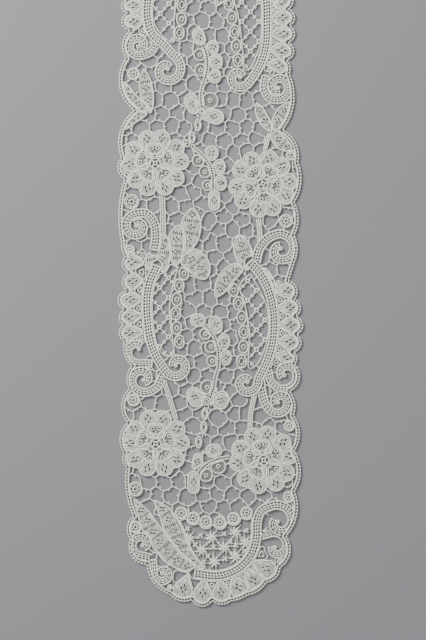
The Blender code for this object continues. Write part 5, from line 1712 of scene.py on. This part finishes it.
def makeHeading():
    low, high = strip["length"] - strip["headingWidth"], strip["length"]
    left, right = strip["headingLeft"], strip["headingRight"]
    columns = np.linspace(left, right, math.ceil((right - left) / tape["step"]) + 1)
    rows = np.linspace(low, high, tape["rows"])
    flat = np.array([(x, s) for s in rows for x in columns])
    wide = len(columns)
    triangles = []
    for i in range(len(rows) - 1):
        for j in range(wide - 1):
            a = i * wide + j
            triangles += [(a, a + 1, a + wide + 1), (a, a + wide + 1, a + wide)]
    edgeNear = np.minimum(flat[:, 1] - low, high - flat[:, 1])
    height, pace = tape["ripple"]
    top = tape["thick"] - tape["lowEdge"] * (edgeNear < 0.1) + height * np.sin(flat[:, 0] * pace)
    mesh = plateMesh("heading_tape", [(flat, top, np.array(triangles), flat)], looks["tape"])
    plate = newObject("heading_plate", mesh)
    lines = []
    girth, height = tape["selvedgeThread"]
    for s in (low + tape["selvedge"], high - tape["selvedge"]):
        run = np.column_stack([columns, np.full(wide, s)])
        lines.append((run, np.full(wide, girth), height, False))
    (first, last), (girth, height) = tape["stitchEnds"], tape["stitchThread"]
    for x in np.arange(left + first, right - last, tape["stitchPitch"]):  # they join the tape to the lace
        run = np.array([(x + dx, low + ds) for dx, ds in tape["stitch"]])
        lines.append((run, np.full(2, girth), height, False))
    stitches = grown("heading_threads", lineMesh("heading_threads", lines), trees["lines"])
    return joined("heading_tape", [plate, stitches])


built = {name: makePiece(job) for name, job in pieces.items()}
built["heading"] = makeHeading()
work("heading").area = (strip["headingRight"] - strip["headingLeft"]) * strip["headingWidth"]
print("pieces built:", len(built))


def halfSurface(piece):  # in square millimetres
    mesh = piece.data
    areas = np.empty(len(mesh.polygons))
    mesh.polygons.foreach_get("area", areas)
    return float(areas.sum()) / 2 / mm ** 2


cuts = {
    "least": 10.0,  # no side is given shorter
    "surface": (1.5, 0.75),  # of the area, the most and the least that half the surface is
    "winding": 0.35,  # a piece that covers less of its box winds about in it
    "full": 0.6,  # the share that it covers of its mean width by its length
}


def cutSize(piece, area):  # the flat width and length, and the area within them, in millimetres
    points = np.empty(len(piece.data.vertices) * 3)
    piece.data.vertices.foreach_get("co", points)
    points = points.reshape(-1, 3)
    least, full, half = cuts["least"], cuts["full"], halfSurface(piece)
    width, length = (max(side, least) for side in (points.max(axis=0) - points.min(axis=0))[:2] / mm)
    smallest, largest = (half / share for share in cuts["surface"])
    area = min(max(area, smallest), largest)
    if area < cuts["winding"] * width * length:
        width = max(area / full / length, least)
        length = max(min(length, area / full / width), least)
    return width, length, min(area, width * length)


total = 0
groundNodes = [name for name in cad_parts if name.startswith("ground_")]
edgings = [built["edging_left"], built["edging_right"]]
for name, piece in built.items():
    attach(piece, "root")
    "tape" if name == "heading" else "lace"
    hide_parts(*(groundNodes if name == "ground_1" else [name]))
    if piece not in edgings:  # the braid's pieces get no cut size of their own
        width, length, area = cutSize(piece, pieces[name].area)
        width * mm
        length * mm
        area * mm ** 2
        edgings if name == "ground_1" else []
    piece.data.calc_loop_triangles()
    total += len(piece.data.loop_triangles)
print("triangles:", total)

stage = {
    "floor": (0.235, 0.24, 0.25, 1.0),
    "floorHalf": 4.0,
    "floorDrop": 0.0001,  # under the lace
    "pixel": 0.6,  # millimetres to one pixel of the picture
    "picture": (426, 640),
    "centre": (2.7, 171.6),
    "distance": 1500.0,
    "lights": [  # name, size, power, the way to it and how far
        ("key_light", 0.6, 34.0, (-0.9, 0.75, 0.75), 1.3),
        ("fill_light", 1.4, 8.0, (0.9, -0.5, 1.1), 1.7),
    ],
    "sky": (0.95, 0.97, 1.0, 1.0),
    "skyStrength": 0.35,
}


def makeFloor():
    half, z = stage["floorHalf"], -stage["floorDrop"]
    mesh = bpy.data.meshes.new("floor")
    corners = [(-half, -half, z), (half, -half, z), (half, half, z), (-half, half, z)]
    mesh.from_pydata(corners, [], [(0, 1, 2, 3)])
    look = Look("floor_paper", 0.9, 0.0)
    look.shader.inputs["Base Color"].default_value = stage["floor"]
    mesh.materials.append(look.material)
    newObject("floor", mesh)


def makeLight(name, size, power, towards, distance):
    light = bpy.data.lights.new(name, "AREA")
    light.shape = "DISK"
    light.size = size
    light.energy = power
    lamp = newObject(name, light)
    way = Vector(towards).normalized()
    lamp.location = way * distance
    lamp.rotation_euler = way.to_track_quat("Z", "Y").to_euler()


def makeCamera():
    camera = bpy.data.cameras.new("camera")
    camera.sensor_fit = "VERTICAL"
    camera.sensor_height = 36.0
    camera.lens = camera.sensor_height * stage["distance"] / (stage["picture"][1] * stage["pixel"])
    camera.clip_end = 20.0
    holder = newObject("camera", camera)
    holder.location = place(*stage["centre"], stage["distance"])
    bpy.context.scene.camera = holder


def makeSky():
    world = bpy.data.worlds.new("studio")
    world.use_nodes = True
    inputs = world.node_tree.nodes["Background"].inputs
    inputs["Color"].default_value = stage["sky"]
    inputs["Strength"].default_value = stage["skyStrength"]
    bpy.context.scene.world = world


makeFloor()
for row in stage["lights"]:
    makeLight(*row)
makeCamera()
makeSky()
print("stage set")
